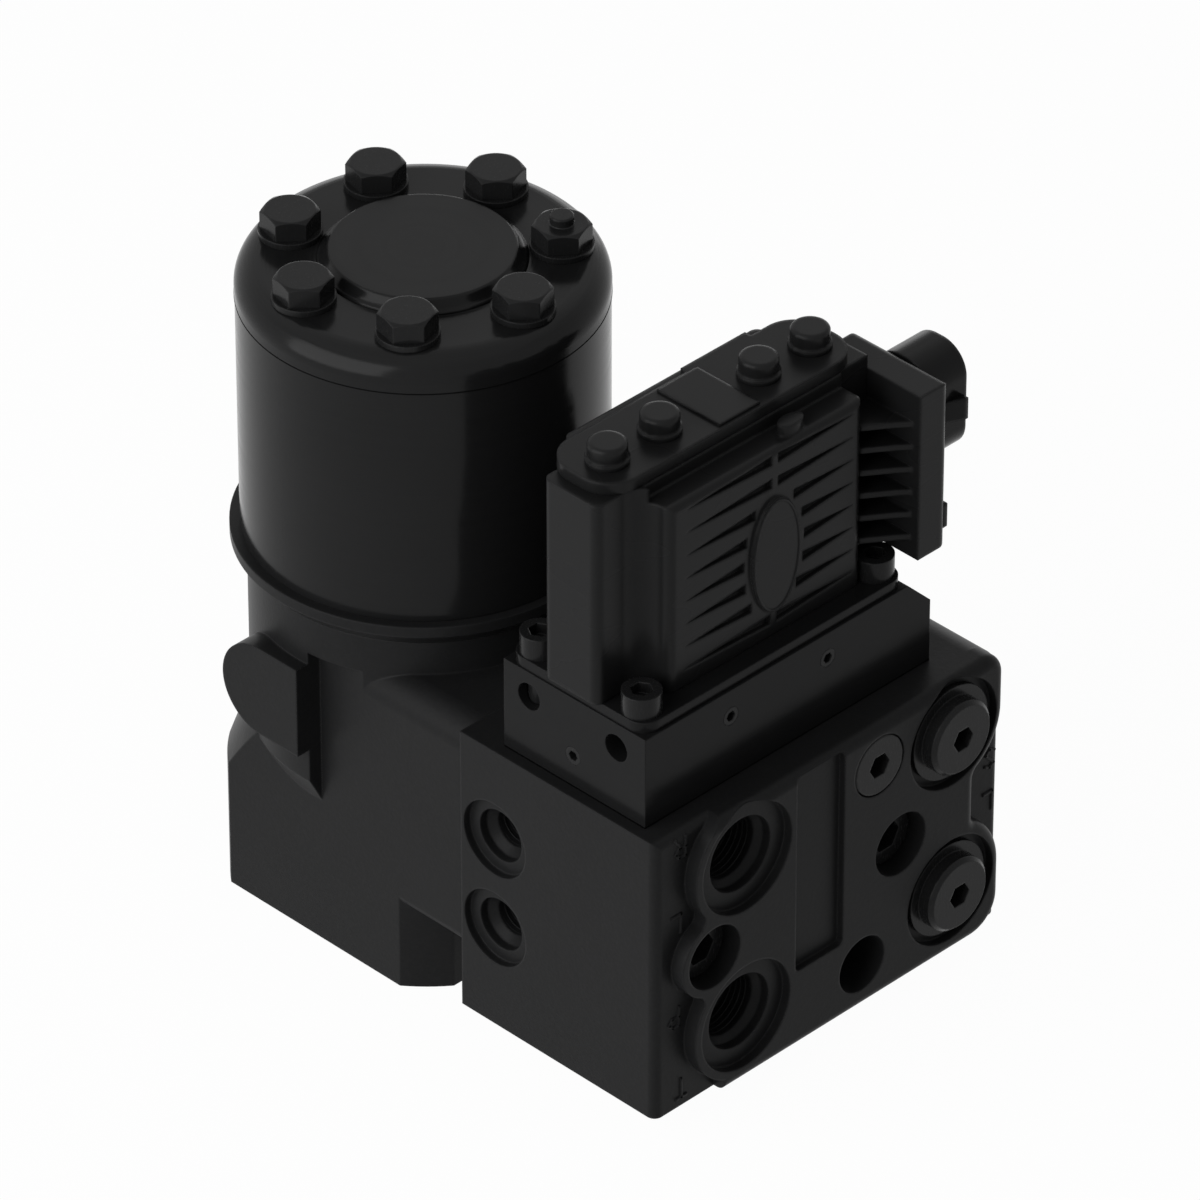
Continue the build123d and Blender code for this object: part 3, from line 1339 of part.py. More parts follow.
# Caps over the four solenoids
with BuildPart() as solenoid_caps:
    for radius, height in ((cap_collar_radius, cap_collar_height), (cap_radius, cap_height)):
        with BuildSketch(Plane.XY.offset(lid_top)):
            with Locations(*[(x, module_y) for x in cap_places]):
                Circle(radius)
        extrude(amount=height)
    fillet(faces().filter_by(Axis.Z).group_by(Axis.Z)[-1].edges(), radius=cap_edge_radius)
solenoid_caps.part.label = "solenoid_caps"
export_step(solenoid_caps.part, "parts/solenoid_caps.step")

# Bare plate on the lid
with BuildPart() as tag_plate:
    with BuildSketch(Plane.XY.offset(lid_top)):
        with Locations(((tag_left + tag_right) / 2, (lid_front + lid_back) / 2)):
            Rectangle(tag_right - tag_left, lid_back - lid_front - 2 * tag_margin)
    extrude(amount=tag_thickness)
tag_plate.part.label = "tag_plate"
export_step(tag_plate.part, "parts/tag_plate.step")

# Finned tower that carries the connector
tower_middle_y = (tower_front + tower_back) / 2
end_front = module_y - end_half_width
with BuildPart() as connector_tower:
    with BuildSketch(Plane.XY.offset(tower_bottom)):
        with Locations(((tower_left + tower_right) / 2, tower_middle_y)):
            Rectangle(tower_right - tower_left, tower_back - tower_front)
    extrude(amount=tower_top - tower_bottom)
    fillet(faces().sort_by(Axis.X)[-1].edges(), radius=tower_edge_radius)
    for index in range(fin_count):
        with BuildSketch(Plane.XY.offset(fin_first + index * rib_pitch)):
            with BuildLine():
                Polyline(
                    (panel_right, end_front),
                    (panel_right, fin_root_y),
                    (fin_tip_x, fin_tip_y),
                    (tower_left, tower_front + tower_edge_radius),
                    (tower_left, end_front),
                    close=True,
                )
            make_face()
        extrude(amount=fin_thickness)
connector_tower.part.label = "connector_tower"
export_step(connector_tower.part, "parts/connector_tower.step")

# Connector socket, open at its outer end
socket_middle_z = (socket_bottom + socket_top) / 2
with BuildPart() as connector_socket:
    with BuildSketch(Plane(origin=(tower_right, socket_centre_y, socket_middle_z), x_dir=(0, 1, 0), z_dir=(1, 0, 0))):
        RectangleRounded(2 * socket_half_width, socket_top - socket_bottom, socket_corner_radius)
    extrude(amount=socket_length)
    with BuildSketch(Plane(origin=(tower_right + socket_length, socket_centre_y, socket_middle_z), x_dir=(0, 1, 0), z_dir=(1, 0, 0))):
        RectangleRounded(
            2 * (socket_half_width - socket_wall),
            socket_top - socket_bottom - 2 * socket_wall,
            socket_corner_radius - socket_wall,
        )
    extrude(amount=-socket_inner_depth, mode=Mode.SUBTRACT)
connector_socket.part.label = "connector_socket"
export_step(connector_socket.part, "parts/connector_socket.step")

# Contacts in the socket
contact_floor = tower_right + socket_length - socket_inner_depth
with BuildPart() as contact_pins:
    with BuildSketch(Plane(origin=(contact_floor, socket_centre_y, socket_middle_z), x_dir=(0, 1, 0), z_dir=(1, 0, 0))):
        with GridLocations(pin_pitch, pin_pitch, pin_columns, pin_rows):
            Circle(contact_radius)
    extrude(amount=contact_length)
contact_pins.part.label = "contact_pins"
export_step(contact_pins.part, "parts/contact_pins.step")
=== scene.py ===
import json
import math

import bmesh
import bpy
from bpy.props import FloatProperty, FloatVectorProperty, PointerProperty
from mathutils import Matrix, Vector


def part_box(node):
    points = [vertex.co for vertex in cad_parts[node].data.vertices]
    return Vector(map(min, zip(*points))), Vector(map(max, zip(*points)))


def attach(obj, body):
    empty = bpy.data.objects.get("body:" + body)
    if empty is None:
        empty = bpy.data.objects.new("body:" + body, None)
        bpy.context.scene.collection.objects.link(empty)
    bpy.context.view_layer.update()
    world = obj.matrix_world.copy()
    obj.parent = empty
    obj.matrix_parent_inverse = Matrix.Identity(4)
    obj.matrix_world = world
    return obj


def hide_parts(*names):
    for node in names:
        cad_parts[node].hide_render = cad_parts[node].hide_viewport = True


bl_info = {
    "name": "Orbital steering unit",
    "version": (1, 0, 0),
    "blender": (4, 5, 0),
    "location": "3D View > Sidebar > Steering unit",
    "description": "Finishes, threads and cast marks for an orbital steering unit",
    "category": "Object",
}

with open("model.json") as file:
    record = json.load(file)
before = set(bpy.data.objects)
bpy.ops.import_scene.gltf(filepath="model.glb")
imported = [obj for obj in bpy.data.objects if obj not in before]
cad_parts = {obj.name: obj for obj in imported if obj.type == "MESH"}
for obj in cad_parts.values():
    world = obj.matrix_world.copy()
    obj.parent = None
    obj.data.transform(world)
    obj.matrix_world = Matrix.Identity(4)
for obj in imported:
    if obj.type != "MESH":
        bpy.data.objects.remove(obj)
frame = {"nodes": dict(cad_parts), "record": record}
NODES = frame["nodes"]
CASING = "casing"
COLUMN_CENTRE = Vector((0.0, 0.0, 0.0))
EVEN_MARKS = (1.0, 1.0, 1.0)
DRAWN_MARKS = (1.0, 1.0, 0.25)


class SteeringUnitColours(bpy.types.PropertyGroup):
    """Colours of the unit's surfaces"""

    casting: FloatVectorProperty(
        name="Castings",
        description="Black paint on the cast housing and the valve block",
        subtype="COLOR",
        default=(0.0120, 0.0121, 0.0124),
        min=0.0,
        max=1.0,
    )
    machined: FloatVectorProperty(
        name="Machined steel",
        description="Black finish on the gear ring, the end cover and the plates",
        subtype="COLOR",
        default=(0.0095, 0.0096, 0.0098),
        min=0.0,
        max=1.0,
    )
    fastener: FloatVectorProperty(
        name="Fasteners",
        description="Black oxide on screws and plugs",
        subtype="COLOR",
        default=(0.0110, 0.0111, 0.0113),
        min=0.0,
        max=1.0,
    )
    module: FloatVectorProperty(
        name="Module",
        description="Moulded black of the control module",
        subtype="COLOR",
        default=(0.0105, 0.0106, 0.0108),
        min=0.0,
        max=1.0,
    )
    connector: FloatVectorProperty(
        name="Connector",
        description="Smooth black of the plug socket",
        subtype="COLOR",
        default=(0.0090, 0.0091, 0.0093),
        min=0.0,
        max=1.0,
    )
    seal: FloatVectorProperty(
        name="Seals",
        description="Rubber of the seals",
        subtype="COLOR",
        default=(0.016, 0.016, 0.016),
        min=0.0,
        max=1.0,
    )
    ground_steel: FloatVectorProperty(
        name="Ground steel",
        description="Bare ground steel of the parts inside",
        subtype="COLOR",
        default=(0.42, 0.43, 0.44),
        min=0.0,
        max=1.0,
    )
    spring_steel: FloatVectorProperty(
        name="Spring steel",
        description="Wire and leaves of the springs",
        subtype="COLOR",
        default=(0.24, 0.24, 0.25),
        min=0.0,
        max=1.0,
    )
    cage: FloatVectorProperty(
        name="Needle cage",
        description="Natural moulded cage of the needle bearing",
        subtype="COLOR",
        default=(0.46, 0.39, 0.27),
        min=0.0,
        max=1.0,
    )
    contact: FloatVectorProperty(
        name="Contacts",
        description="Plated contacts of the plug socket",
        subtype="COLOR",
        default=(0.55, 0.40, 0.16),
        min=0.0,
        max=1.0,
    )
    floor: FloatVectorProperty(
        name="Floor",
        description="Pale floor under the unit",
        subtype="COLOR",
        default=(0.90, 0.90, 0.90),
        min=0.0,
        max=1.0,
    )


class SteeringUnitSizes(bpy.types.PropertyGroup):
    """Sizes of the surface detail"""

    casting_grain: FloatProperty(
        name="Casting grain",
        description="Width of one grain of the cast skin",
        default=0.0011,
        min=0.0002,
        unit="LENGTH",
    )
    casting_relief: FloatProperty(
        name="Casting relief",
        description="Depth of the grain of the cast skin",
        default=0.00004,
        min=0.0,
        unit="LENGTH",
    )
    tool_mark: FloatProperty(
        name="Tool mark",
        description="Width of one turned or milled mark",
        default=0.0005,
        min=0.0001,
        unit="LENGTH",
    )
    tool_relief: FloatProperty(
        name="Tool mark relief",
        description="Depth of the turned or milled marks",
        default=0.000008,
        min=0.0,
        unit="LENGTH",
    )
    moulded_grain: FloatProperty(
        name="Moulded grain",
        description="Width of one grain on moulded faces",
        default=0.0006,
        min=0.0001,
        unit="LENGTH",
    )
    broken_edge: FloatProperty(
        name="Broken edge",
        description="Radius that softens the light on sharp edges",
        default=0.0005,
        min=0.0,
        unit="LENGTH",
    )
    moulded_edge: FloatProperty(
        name="Moulded edge",
        description="Radius that softens the light on moulded edges",
        default=0.0011,
        min=0.0,
        unit="LENGTH",
    )
    cast_edge: FloatProperty(
        name="Cast edge",
        description="Radius that softens the light on cast edges",
        default=0.0008,
        min=0.0,
        unit="LENGTH",
    )
    thread_pitch: FloatProperty(
        name="Thread pitch",
        description="Pitch of the threads in the hose ports",
        default=0.0015875,
        min=0.0005,
        unit="LENGTH",
    )
    side_pitch: FloatProperty(
        name="Side thread pitch",
        description="Pitch of the threads in the side ports",
        default=0.0015,
        min=0.0005,
        unit="LENGTH",
    )
    thread_depth: FloatProperty(
        name="Thread depth",
        description="How far the thread crests stand in from the port's wall",
        default=0.00014,
        min=0.00005,
        unit="LENGTH",
    )
    head_turn: FloatProperty(
        name="Head turn",
        description="Direction of the first corner of each hexagon head",
        default=math.radians(18.0),
        subtype="ANGLE",
    )
    head_width: FloatProperty(
        name="Head width",
        description="Cover screw heads, across the flats",
        default=0.013,
        min=0.005,
        unit="LENGTH",
    )
    badge_rim: FloatProperty(
        name="Badge rim",
        description="Width of the raised rim round the bare oval",
        default=0.0009,
        min=0.0002,
        unit="LENGTH",
    )
    joint_line: FloatProperty(
        name="Joint line",
        description="Height of the dark line between two parts",
        default=0.0003,
        min=0.00005,
        unit="LENGTH",
    )
    mark_height: FloatProperty(
        name="Port mark height",
        description="Height of the cast port letters",
        default=0.0054,
        min=0.001,
        unit="LENGTH",
    )
    mark_relief: FloatProperty(
        name="Port mark relief",
        description="How far the cast port letters stand out",
        default=0.0004,
        min=0.0001,
        unit="LENGTH",
    )


class SteeringUnitStage(bpy.types.PropertyGroup):
    """Camera, floor and lamps"""

    azimuth: FloatProperty(
        name="Azimuth",
        description="Direction of the camera, from -Y towards -X",
        default=math.radians(45.0),
        subtype="ANGLE",
    )
    elevation: FloatProperty(
        name="Elevation",
        description="Height of the camera above the horizon",
        default=math.radians(35.264),
        subtype="ANGLE",
    )
    distance: FloatProperty(
        name="Distance",
        description="Distance from the camera to the middle of the view",
        default=2.72547,
        min=0.5,
        unit="LENGTH",
    )
    aim_right: FloatProperty(
        name="Aim right",
        description="Middle of the view, to the right of the column axis",
        default=0.042964,
        unit="LENGTH",
    )
    aim_up: FloatProperty(
        name="Aim up",
        description="Middle of the view, above the column face",
        default=0.067022,
        unit="LENGTH",
    )
    lens: FloatProperty(
        name="Lens",
        description="Focal length in millimetres on a sensor 36 mm wide",
        default=324.2,
        min=10.0,
    )
    floor_size: FloatProperty(
        name="Floor size",
        description="Width of the floor",
        default=12.0,
        min=1.0,
        unit="LENGTH",
    )
    key_power: FloatProperty(
        name="Left lamp",
        description="Power of the soft lamp at the left",
        default=29.0,
        min=0.0,
        unit="POWER",
    )
    fill_power: FloatProperty(
        name="Right lamp",
        description="Power of the soft lamp at the right",
        default=0.15,
        min=0.0,
        unit="POWER",
    )
    top_power: FloatProperty(
        name="Top lamp",
        description="Power of the soft lamp above",
        default=2.6,
        min=0.0,
        unit="POWER",
    )
    back_power: FloatProperty(
        name="Back lamp",
        description="Power of the soft lamp behind",
        default=5.0,
        min=0.0,
        unit="POWER",
    )
    ambient: FloatProperty(
        name="Ambient",
        description="Strength of the even light from all round",
        default=0.20,
        min=0.0,
        max=1.0,
    )


# Materials

def new_finish(name):
    """An empty node material with its shader and output."""
    finish = bpy.data.materials.new(name)
    finish.use_nodes = True
    tree = finish.node_tree
    tree.nodes.clear()
    output = tree.nodes.new("ShaderNodeOutputMaterial")
    shader = tree.nodes.new("ShaderNodeBsdfPrincipled")
    tree.links.new(shader.outputs["BSDF"], output.inputs["Surface"])
    return finish, tree, shader


def place_node(tree, scale=(1.0, 1.0, 1.0)):
    """The object's own coordinates, stretched by a scale for each axis."""
    place = tree.nodes.new("ShaderNodeTexCoord")
    stretch = tree.nodes.new("ShaderNodeMapping")
    stretch.inputs["Scale"].default_value = scale
    tree.links.new(place.outputs["Object"], stretch.inputs["Vector"])
    return stretch.outputs["Vector"]


def turned_place(tree):
    """Coordinates that change with the distance from the column axis and with the height only."""
    place = tree.nodes.new("ShaderNodeTexCoord")
    parts = tree.nodes.new("ShaderNodeSeparateXYZ")
    flat = tree.nodes.new("ShaderNodeCombineXYZ")
    length = tree.nodes.new("ShaderNodeVectorMath")
    length.operation = "LENGTH"
    profile = tree.nodes.new("ShaderNodeCombineXYZ")
    tree.links.new(place.outputs["Object"], parts.inputs["Vector"])
    tree.links.new(parts.outputs["X"], flat.inputs["X"])
    tree.links.new(parts.outputs["Y"], flat.inputs["Y"])
    tree.links.new(flat.outputs["Vector"], length.inputs[0])
    tree.links.new(length.outputs["Value"], profile.inputs["X"])
    tree.links.new(parts.outputs["Z"], profile.inputs["Y"])
    return profile.outputs["Vector"]


def noise_node(tree, vector, scale, detail, roughness):
    """Soft noise between 0 and 1, with scale waves to the metre."""
    noise = tree.nodes.new("ShaderNodeTexNoise")
    noise.inputs["Scale"].default_value = scale
    noise.inputs["Detail"].default_value = detail
    noise.inputs["Roughness"].default_value = roughness
    tree.links.new(vector, noise.inputs["Vector"])
    return noise.outputs["Fac"]


def ranged(tree, value, low, high, start=0.0, end=1.0):
    """A value between start and end, spread over low to high."""
    spread = tree.nodes.new("ShaderNodeMapRange")
    spread.inputs["From Min"].default_value = start
    spread.inputs["From Max"].default_value = end
    spread.inputs["To Min"].default_value = low
    spread.inputs["To Max"].default_value = high
    tree.links.new(value, spread.inputs["Value"])
    return spread.outputs["Result"]


def mixed_colour(tree, factor, first, second):
    """A blend of two colours or colour sockets, by a value from 0 to 1."""
    blend = tree.nodes.new("ShaderNodeMix")
    blend.data_type = "RGBA"
    tree.links.new(factor, blend.inputs["Factor"])
    for socket, colour in ((blend.inputs["A"], first), (blend.inputs["B"], second)):
        if isinstance(colour, bpy.types.NodeSocket):
            tree.links.new(colour, socket)
        else:
            socket.default_value = (*colour, 1.0)
    return blend.outputs["Result"]


def tinted(colour, share):
    """A colour made darker or lighter by a share."""
    return tuple(min(channel * share, 1.0) for channel in colour)


def edge_mask(tree, radius):
    """The softened normal, and a value that rises where an edge turns."""
    at_edge, off_edge = 0.90, 0.995
    soft = tree.nodes.new("ShaderNodeBevel")
    soft.samples = 4
    soft.inputs["Radius"].default_value = radius
    surface = tree.nodes.new("ShaderNodeNewGeometry")
    match = tree.nodes.new("ShaderNodeVectorMath")
    match.operation = "DOT_PRODUCT"
    tree.links.new(soft.outputs["Normal"], match.inputs[0])
    tree.links.new(surface.outputs["Normal"], match.inputs[1])
    return soft.outputs["Normal"], ranged(tree, match.outputs["Value"], 1.0, 0.0, at_edge, off_edge)


def relief(tree, height, distance, normal):
    """A normal that follows a height, on top of the softened one."""
    bump = tree.nodes.new("ShaderNodeBump")
    bump.inputs["Strength"].default_value = 1.0
    bump.inputs["Distance"].default_value = distance
    tree.links.new(height, bump.inputs["Height"])
    tree.links.new(normal, bump.inputs["Normal"])
    return bump.outputs["Normal"]


def cast_finish(name, colour, sizes):
    """Paint over a cast skin: fine grain, broad clouds, and edges painted lighter for wear and as a painted
    highlight.
    """
    cloud_scale = 22.0
    dark, light, speck, edge_wear_and_highlight_tint = (tinted(colour, share) for share in (0.86, 1.14, 1.35, 1.9))
    smoothest, roughest = 0.34, 0.42
    finish, tree, shader = new_finish(name)
    vector = place_node(tree)
    clouds = noise_node(tree, vector, cloud_scale, 3.0, 0.55)
    grain = noise_node(tree, vector, 1.0 / sizes.casting_grain, 3.0, 0.6)
    soft_normal, edges = edge_mask(tree, sizes.cast_edge)
    paint = mixed_colour(tree, clouds, dark, light)
    speckled = mixed_colour(tree, ranged(tree, grain, 0.0, 0.5, 0.45, 0.75), paint, speck)
    # Edges are painted lighter: partly wear, partly a painted highlight on the rounded edges.
    with_edge_wear_and_highlight = mixed_colour(tree, ranged(tree, edges, 0.0, 0.6), speckled, edge_wear_and_highlight_tint)
    tree.links.new(with_edge_wear_and_highlight, shader.inputs["Base Color"])
    tree.links.new(ranged(tree, clouds, smoothest, roughest), shader.inputs["Roughness"])
    tree.links.new(relief(tree, grain, sizes.casting_relief, soft_normal), shader.inputs["Normal"])
    shader.inputs["Specular IOR Level"].default_value = 0.058
    return finish


def tool_marked(tree, shader, sizes, marks, colours, shares):
    """Colour and relief that follow tool marks, and edges painted brighter for wear and as a painted
    highlight.
    """
    base, mark, edge_wear_and_highlight_tint = colours
    mark_share, edge_wear_and_highlight_share = shares
    soft_normal, edges = edge_mask(tree, sizes.broken_edge)
    marked = mixed_colour(tree, ranged(tree, marks, 0.0, mark_share, 0.4, 0.7), base, mark)
    # Edges are painted brighter: partly wear, partly a painted highlight on the rounded edges.
    with_edge_wear_and_highlight = mixed_colour(tree, ranged(tree, edges, 0.0, edge_wear_and_highlight_share), marked, edge_wear_and_highlight_tint)
    tree.links.new(with_edge_wear_and_highlight, shader.inputs["Base Color"])
    tree.links.new(relief(tree, marks, sizes.tool_relief, soft_normal), shader.inputs["Normal"])


def tool_shine(tree, shader, marks, metallic, roughness, specular):
    """Roughness that varies with the tool marks, and even metallic and specular values."""
    smoothest, roughest = roughness - 0.05, roughness + 0.06
    tree.links.new(ranged(tree, marks, smoothest, roughest, 0.3, 0.7), shader.inputs["Roughness"])
    shader.inputs["Metallic"].default_value = metallic
    shader.inputs["Specular IOR Level"].default_value = specular


def turned_finish(name, colour, sizes, metallic, roughness, specular):
    """A lathe-turned surface: fine rings round the column axis and a satin shine."""
    cloud_scale = 30.0
    # The last tint is the edge colour: worn edges and a painted highlight.
    dark, light, ring, edge_wear_and_highlight_tint = (tinted(colour, share) for share in (0.90, 1.10, 1.2, 1.7))
    finish, tree, shader = new_finish(name)
    rings = noise_node(tree, turned_place(tree), 1.0 / sizes.tool_mark, 2.0, 0.5)
    clouds = noise_node(tree, place_node(tree), cloud_scale, 2.0, 0.5)
    base = mixed_colour(tree, clouds, dark, light)
    tool_marked(tree, shader, sizes, rings, (base, ring, edge_wear_and_highlight_tint), (0.3, 0.6))
    tool_shine(tree, shader, rings, metallic, roughness, specular)
    return finish


def milled_finish(name, colour, sizes, stretch, metallic, roughness, specular):
    """A milled or drawn surface: straight fine marks along one direction."""
    cloud_scale = 40.0
    # The last tint is the edge colour: worn edges and a painted highlight.
    dark, light, mark, edge_wear_and_highlight_tint = (tinted(colour, share) for share in (0.88, 1.12, 1.25, 1.9))
    finish, tree, shader = new_finish(name)
    marks = noise_node(tree, place_node(tree, stretch), 1.0 / sizes.tool_mark, 2.0, 0.55)
    clouds = noise_node(tree, place_node(tree), cloud_scale, 2.0, 0.5)
    base = mixed_colour(tree, clouds, dark, light)
    tool_marked(tree, shader, sizes, marks, (base, mark, edge_wear_and_highlight_tint), (0.35, 0.65))
    tool_shine(tree, shader, marks, metallic, roughness, specular)
    return finish


def moulded_finish(name, colour, sizes, roughness, specular):
    """Moulded plastic: even fine grain, faint flow clouds and a low sheen."""
    flow_scale, flow_stretch = 18.0, (1.0, 1.0, 3.0)
    grain_relief = 0.000015
    dark, light, edge_wear_and_highlight_tint = (tinted(colour, share) for share in (0.90, 1.12, 1.8))
    finish, tree, shader = new_finish(name)
    grain = noise_node(tree, place_node(tree), 1.0 / sizes.moulded_grain, 2.0, 0.5)
    flow = noise_node(tree, place_node(tree, flow_stretch), flow_scale, 2.0, 0.5)
    soft_normal, edges = edge_mask(tree, sizes.moulded_edge)
    base = mixed_colour(tree, flow, dark, light)
    # Edges are painted lighter: partly wear, partly a painted highlight on the rounded edges.
    with_edge_wear_and_highlight = mixed_colour(tree, ranged(tree, edges, 0.0, 0.5), base, edge_wear_and_highlight_tint)
    tree.links.new(with_edge_wear_and_highlight, shader.inputs["Base Color"])
    tree.links.new(ranged(tree, flow, roughness - 0.04, roughness + 0.05), shader.inputs["Roughness"])
    tree.links.new(relief(tree, grain, grain_relief, soft_normal), shader.inputs["Normal"])
    shader.inputs["Specular IOR Level"].default_value = specular
    return finish


def finish_nodes(names, finish):
    """Gives CAD nodes a finish."""
    for name in names:
        mesh = NODES[name].data
        mesh.materials.clear()
        mesh.materials.append(finish)


# Meshes

def new_piece(name, vertices, faces, finish, slot, smooth=True):
    """A mesh piece that rides on the casing."""
    mesh = bpy.data.meshes.new(name)
    mesh.from_pydata(vertices, [], faces)
    mesh.validate()
    mesh.update()
    for face in mesh.polygons:
        face.use_smooth = smooth
    mesh.materials.append(finish)
    piece = bpy.data.objects.new(name, mesh)
    bpy.context.scene.collection.objects.link(piece)
    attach(piece, CASING)
    return piece


def helix_ridge(mouth, outwards, across, radius, pitch, depth, length):
    """Vertices and faces of one thread ridge that runs into a port from its mouth."""
    upright = outwards.cross(across)
    steps = 36
    turns = int(length / pitch) - 1
    last_step = turns * steps
    half = pitch * 0.42
    rooted = radius + 0.0002
    least_depth = 0.00002
    vertices = []
    faces = []
    for step in range(last_step + 1):
        angle = 2 * math.pi * step / steps
        along = half + pitch * step / steps
        ray = across * math.cos(angle) + upright * math.sin(angle)
        fade = min(1.0, step / steps * 2, (last_step - step) / steps * 2)
        crest = radius - max(depth * fade, least_depth)
        for reach, shift in ((rooted, -half), (crest, 0.0), (rooted, half)):
            vertices.append(mouth + ray * reach - outwards * (along + shift))
    for step in range(last_step):
        faces.extend(ring_faces(3 * step, 3 * step + 3, 3))
    last = 3 * last_step
    faces.append((0, 2, 1))
    faces.append((last, last + 1, last + 2))
    return vertices, faces


def joined(parts):
    """Several vertex and face lists as one."""
    vertices = []
    faces = []
    for part_vertices, part_faces in parts:
        start = len(vertices)
        vertices.extend(part_vertices)
        faces.extend(tuple(start + corner for corner in face) for face in part_faces)
    return vertices, faces


def ring_faces(first, second, count):
    """Quads between two closed loops of the same count, given by their first vertices."""
    return [
        (first + step, first + (step + 1) % count, second + (step + 1) % count, second + step)
        for step in range(count)
    ]


def stacked_rings(rings, hollow=False):
    """Vertices and faces of a body made of closed loops of points. A hollow body is a ring with no ends."""
    count = len(rings[0])
    vertices = [point for ring in rings for point in ring]
    faces = []
    for row in range(len(rings) - 1):
        faces.extend(ring_faces(row * count, (row + 1) * count, count))
    last = (len(rings) - 1) * count
    if hollow:
        faces.extend(ring_faces(last, 0, count))
    else:
        faces.append(tuple(reversed(range(count))))
        faces.append(tuple(range(last, last + count)))
    return vertices, faces


def turned_body(profile, centre, count, hollow=False):
    """Vertices and faces of a body turned round a vertical axis from (radius, z) points."""
    rings = []
    for radius, height in profile:
        ring = []
        for step in range(count):
            angle = 2 * math.pi * step / count
            ring.append(centre + Vector((radius * math.cos(angle), radius * math.sin(angle), height)))
        rings.append(ring)
    return stacked_rings(rings, hollow)


def hexagon_screw(centre, low, floor, seat, top, width, turn):
    """Vertices and faces of a screw: threaded end, shank and a hexagon head with a turned chamfer."""
    count = 48
    core, shank = 0.00335, 0.004
    half = width / 2
    crown = half * 0.965
    slope = math.tan(math.radians(30.0))
    corners = []
    for step in range(count):
        off_flat = (2 * math.pi * step / count) % (math.pi / 3) - math.pi / 6
        corners.append(half / math.cos(off_flat))
    outlines = [
        [(core, low)] * count,
        [(core, floor)] * count,
        [(shank, floor)] * count,
        [(shank, seat)] * count,
        [(reach, seat) for reach in corners],
        [(reach, top - (reach - crown) * slope) for reach in corners],
        [(crown, top)] * count,
    ]
    rings = []
    for outline in outlines:
        ring = []
        for step, (reach, height) in enumerate(outline):
            angle = turn + 2 * math.pi * step / count
            ring.append(centre + Vector((reach * math.cos(angle), reach * math.sin(angle), height)))
        rings.append(ring)
    return stacked_rings(rings)


def bar(start, end, width, height, outwards):
    """Vertices and faces of one raised stroke with sloped sides that stands on a face."""
    sunk_depth = 0.0003
    along = (end - start).normalized()
    aside = along.cross(outwards)
    foot = [
        start - along * width / 2 - aside * width / 2,
        end + along * width / 2 - aside * width / 2,
        end + along * width / 2 + aside * width / 2,
        start - along * width / 2 + aside * width / 2,
    ]
    middle = (start + end) / 2
    lean = height * 0.45
    crest = []
    for corner in foot:
        inwards = along * math.copysign(lean, (middle - corner).dot(along))
        inwards += aside * math.copysign(lean, (middle - corner).dot(aside))
        crest.append(corner + inwards + outwards * height)
    sunk = [corner - outwards * sunk_depth for corner in foot]
    return stacked_rings([sunk, foot, crest])


LETTERS = {
    "L": (((0.0, 1.0), (0.0, 0.0)), ((0.0, 0.0), (0.55, 0.0))),
    "P": (
        ((0.0, 0.0), (0.0, 1.0)), ((0.0, 1.0), (0.42, 1.0)), ((0.42, 1.0), (0.6, 0.76)),
        ((0.6, 0.76), (0.42, 0.5)), ((0.42, 0.5), (0.0, 0.5)),
    ),
    "R": (
        ((0.0, 0.0), (0.0, 1.0)), ((0.0, 1.0), (0.42, 1.0)), ((0.42, 1.0), (0.6, 0.76)),
        ((0.6, 0.76), (0.42, 0.5)), ((0.42, 0.5), (0.0, 0.5)), ((0.3, 0.5), (0.62, 0.0)),
    ),
    "S": (
        ((0.58, 0.86), (0.3, 1.0)), ((0.3, 1.0), (0.03, 0.8)), ((0.03, 0.8), (0.57, 0.24)),
        ((0.57, 0.24), (0.3, 0.0)), ((0.3, 0.0), (0.0, 0.14)),
    ),
    "T": (((0.3, 0.0), (0.3, 1.0)), ((0.0, 1.0), (0.6, 1.0))),
}


def cast_letter(letter, x, face, z, height, rise):
    """A port letter on a face along -Y. It stands on its head, as the unit does on its column face."""
    centre_across, centre_up = 0.3, 0.5
    stroke_width = height * 0.17
    outwards = Vector((0.0, -1.0, 0.0))
    strokes = []
    for stroke in LETTERS[letter]:
        start, end = (
            Vector((x - (across - centre_across) * height, face, z - (up - centre_up) * height))
            for across, up in stroke
        )
        strokes.append(bar(start, end, stroke_width, rise, outwards))
    return joined(strokes)


def oval_rim(x, face, z, half_width, half_height, width, rise):
    """Vertices and faces of a raised oval rim on a face along -Y."""
    count = 96
    sunk = -0.0003
    outer, inner = width * 0.25, width * 0.75
    profile = ((0.0, sunk), (0.0, 0.0), (outer, rise), (inner, rise), (width, 0.0), (width, sunk))
    rings = []
    for inset, lift in profile:
        ring = []
        for step in range(count):
            angle = 2 * math.pi * step / count
            across = (half_width - inset) * math.cos(angle)
            up = (half_height - inset) * math.sin(angle)
            ring.append(Vector((x + across, face - lift, z + up)))
        rings.append(ring)
    return stacked_rings(rings, hollow=True)


def band(outline, low, high, reach):
    """Vertices and faces of a thin band that stands out round a closed outline."""
    middle = sum(outline, Vector((0.0, 0.0))) / len(outline)
    rings = []
    for height, offset in ((low, -reach), (low, reach), (high, reach), (high, -reach)):
        ring = []
        for corner in outline:
            away = corner - middle
            x = corner.x + math.copysign(offset, away.x)
            y = corner.y + math.copysign(offset, away.y)
            ring.append(Vector((x, y, height)))
        rings.append(ring)
    return stacked_rings(rings, hollow=True)


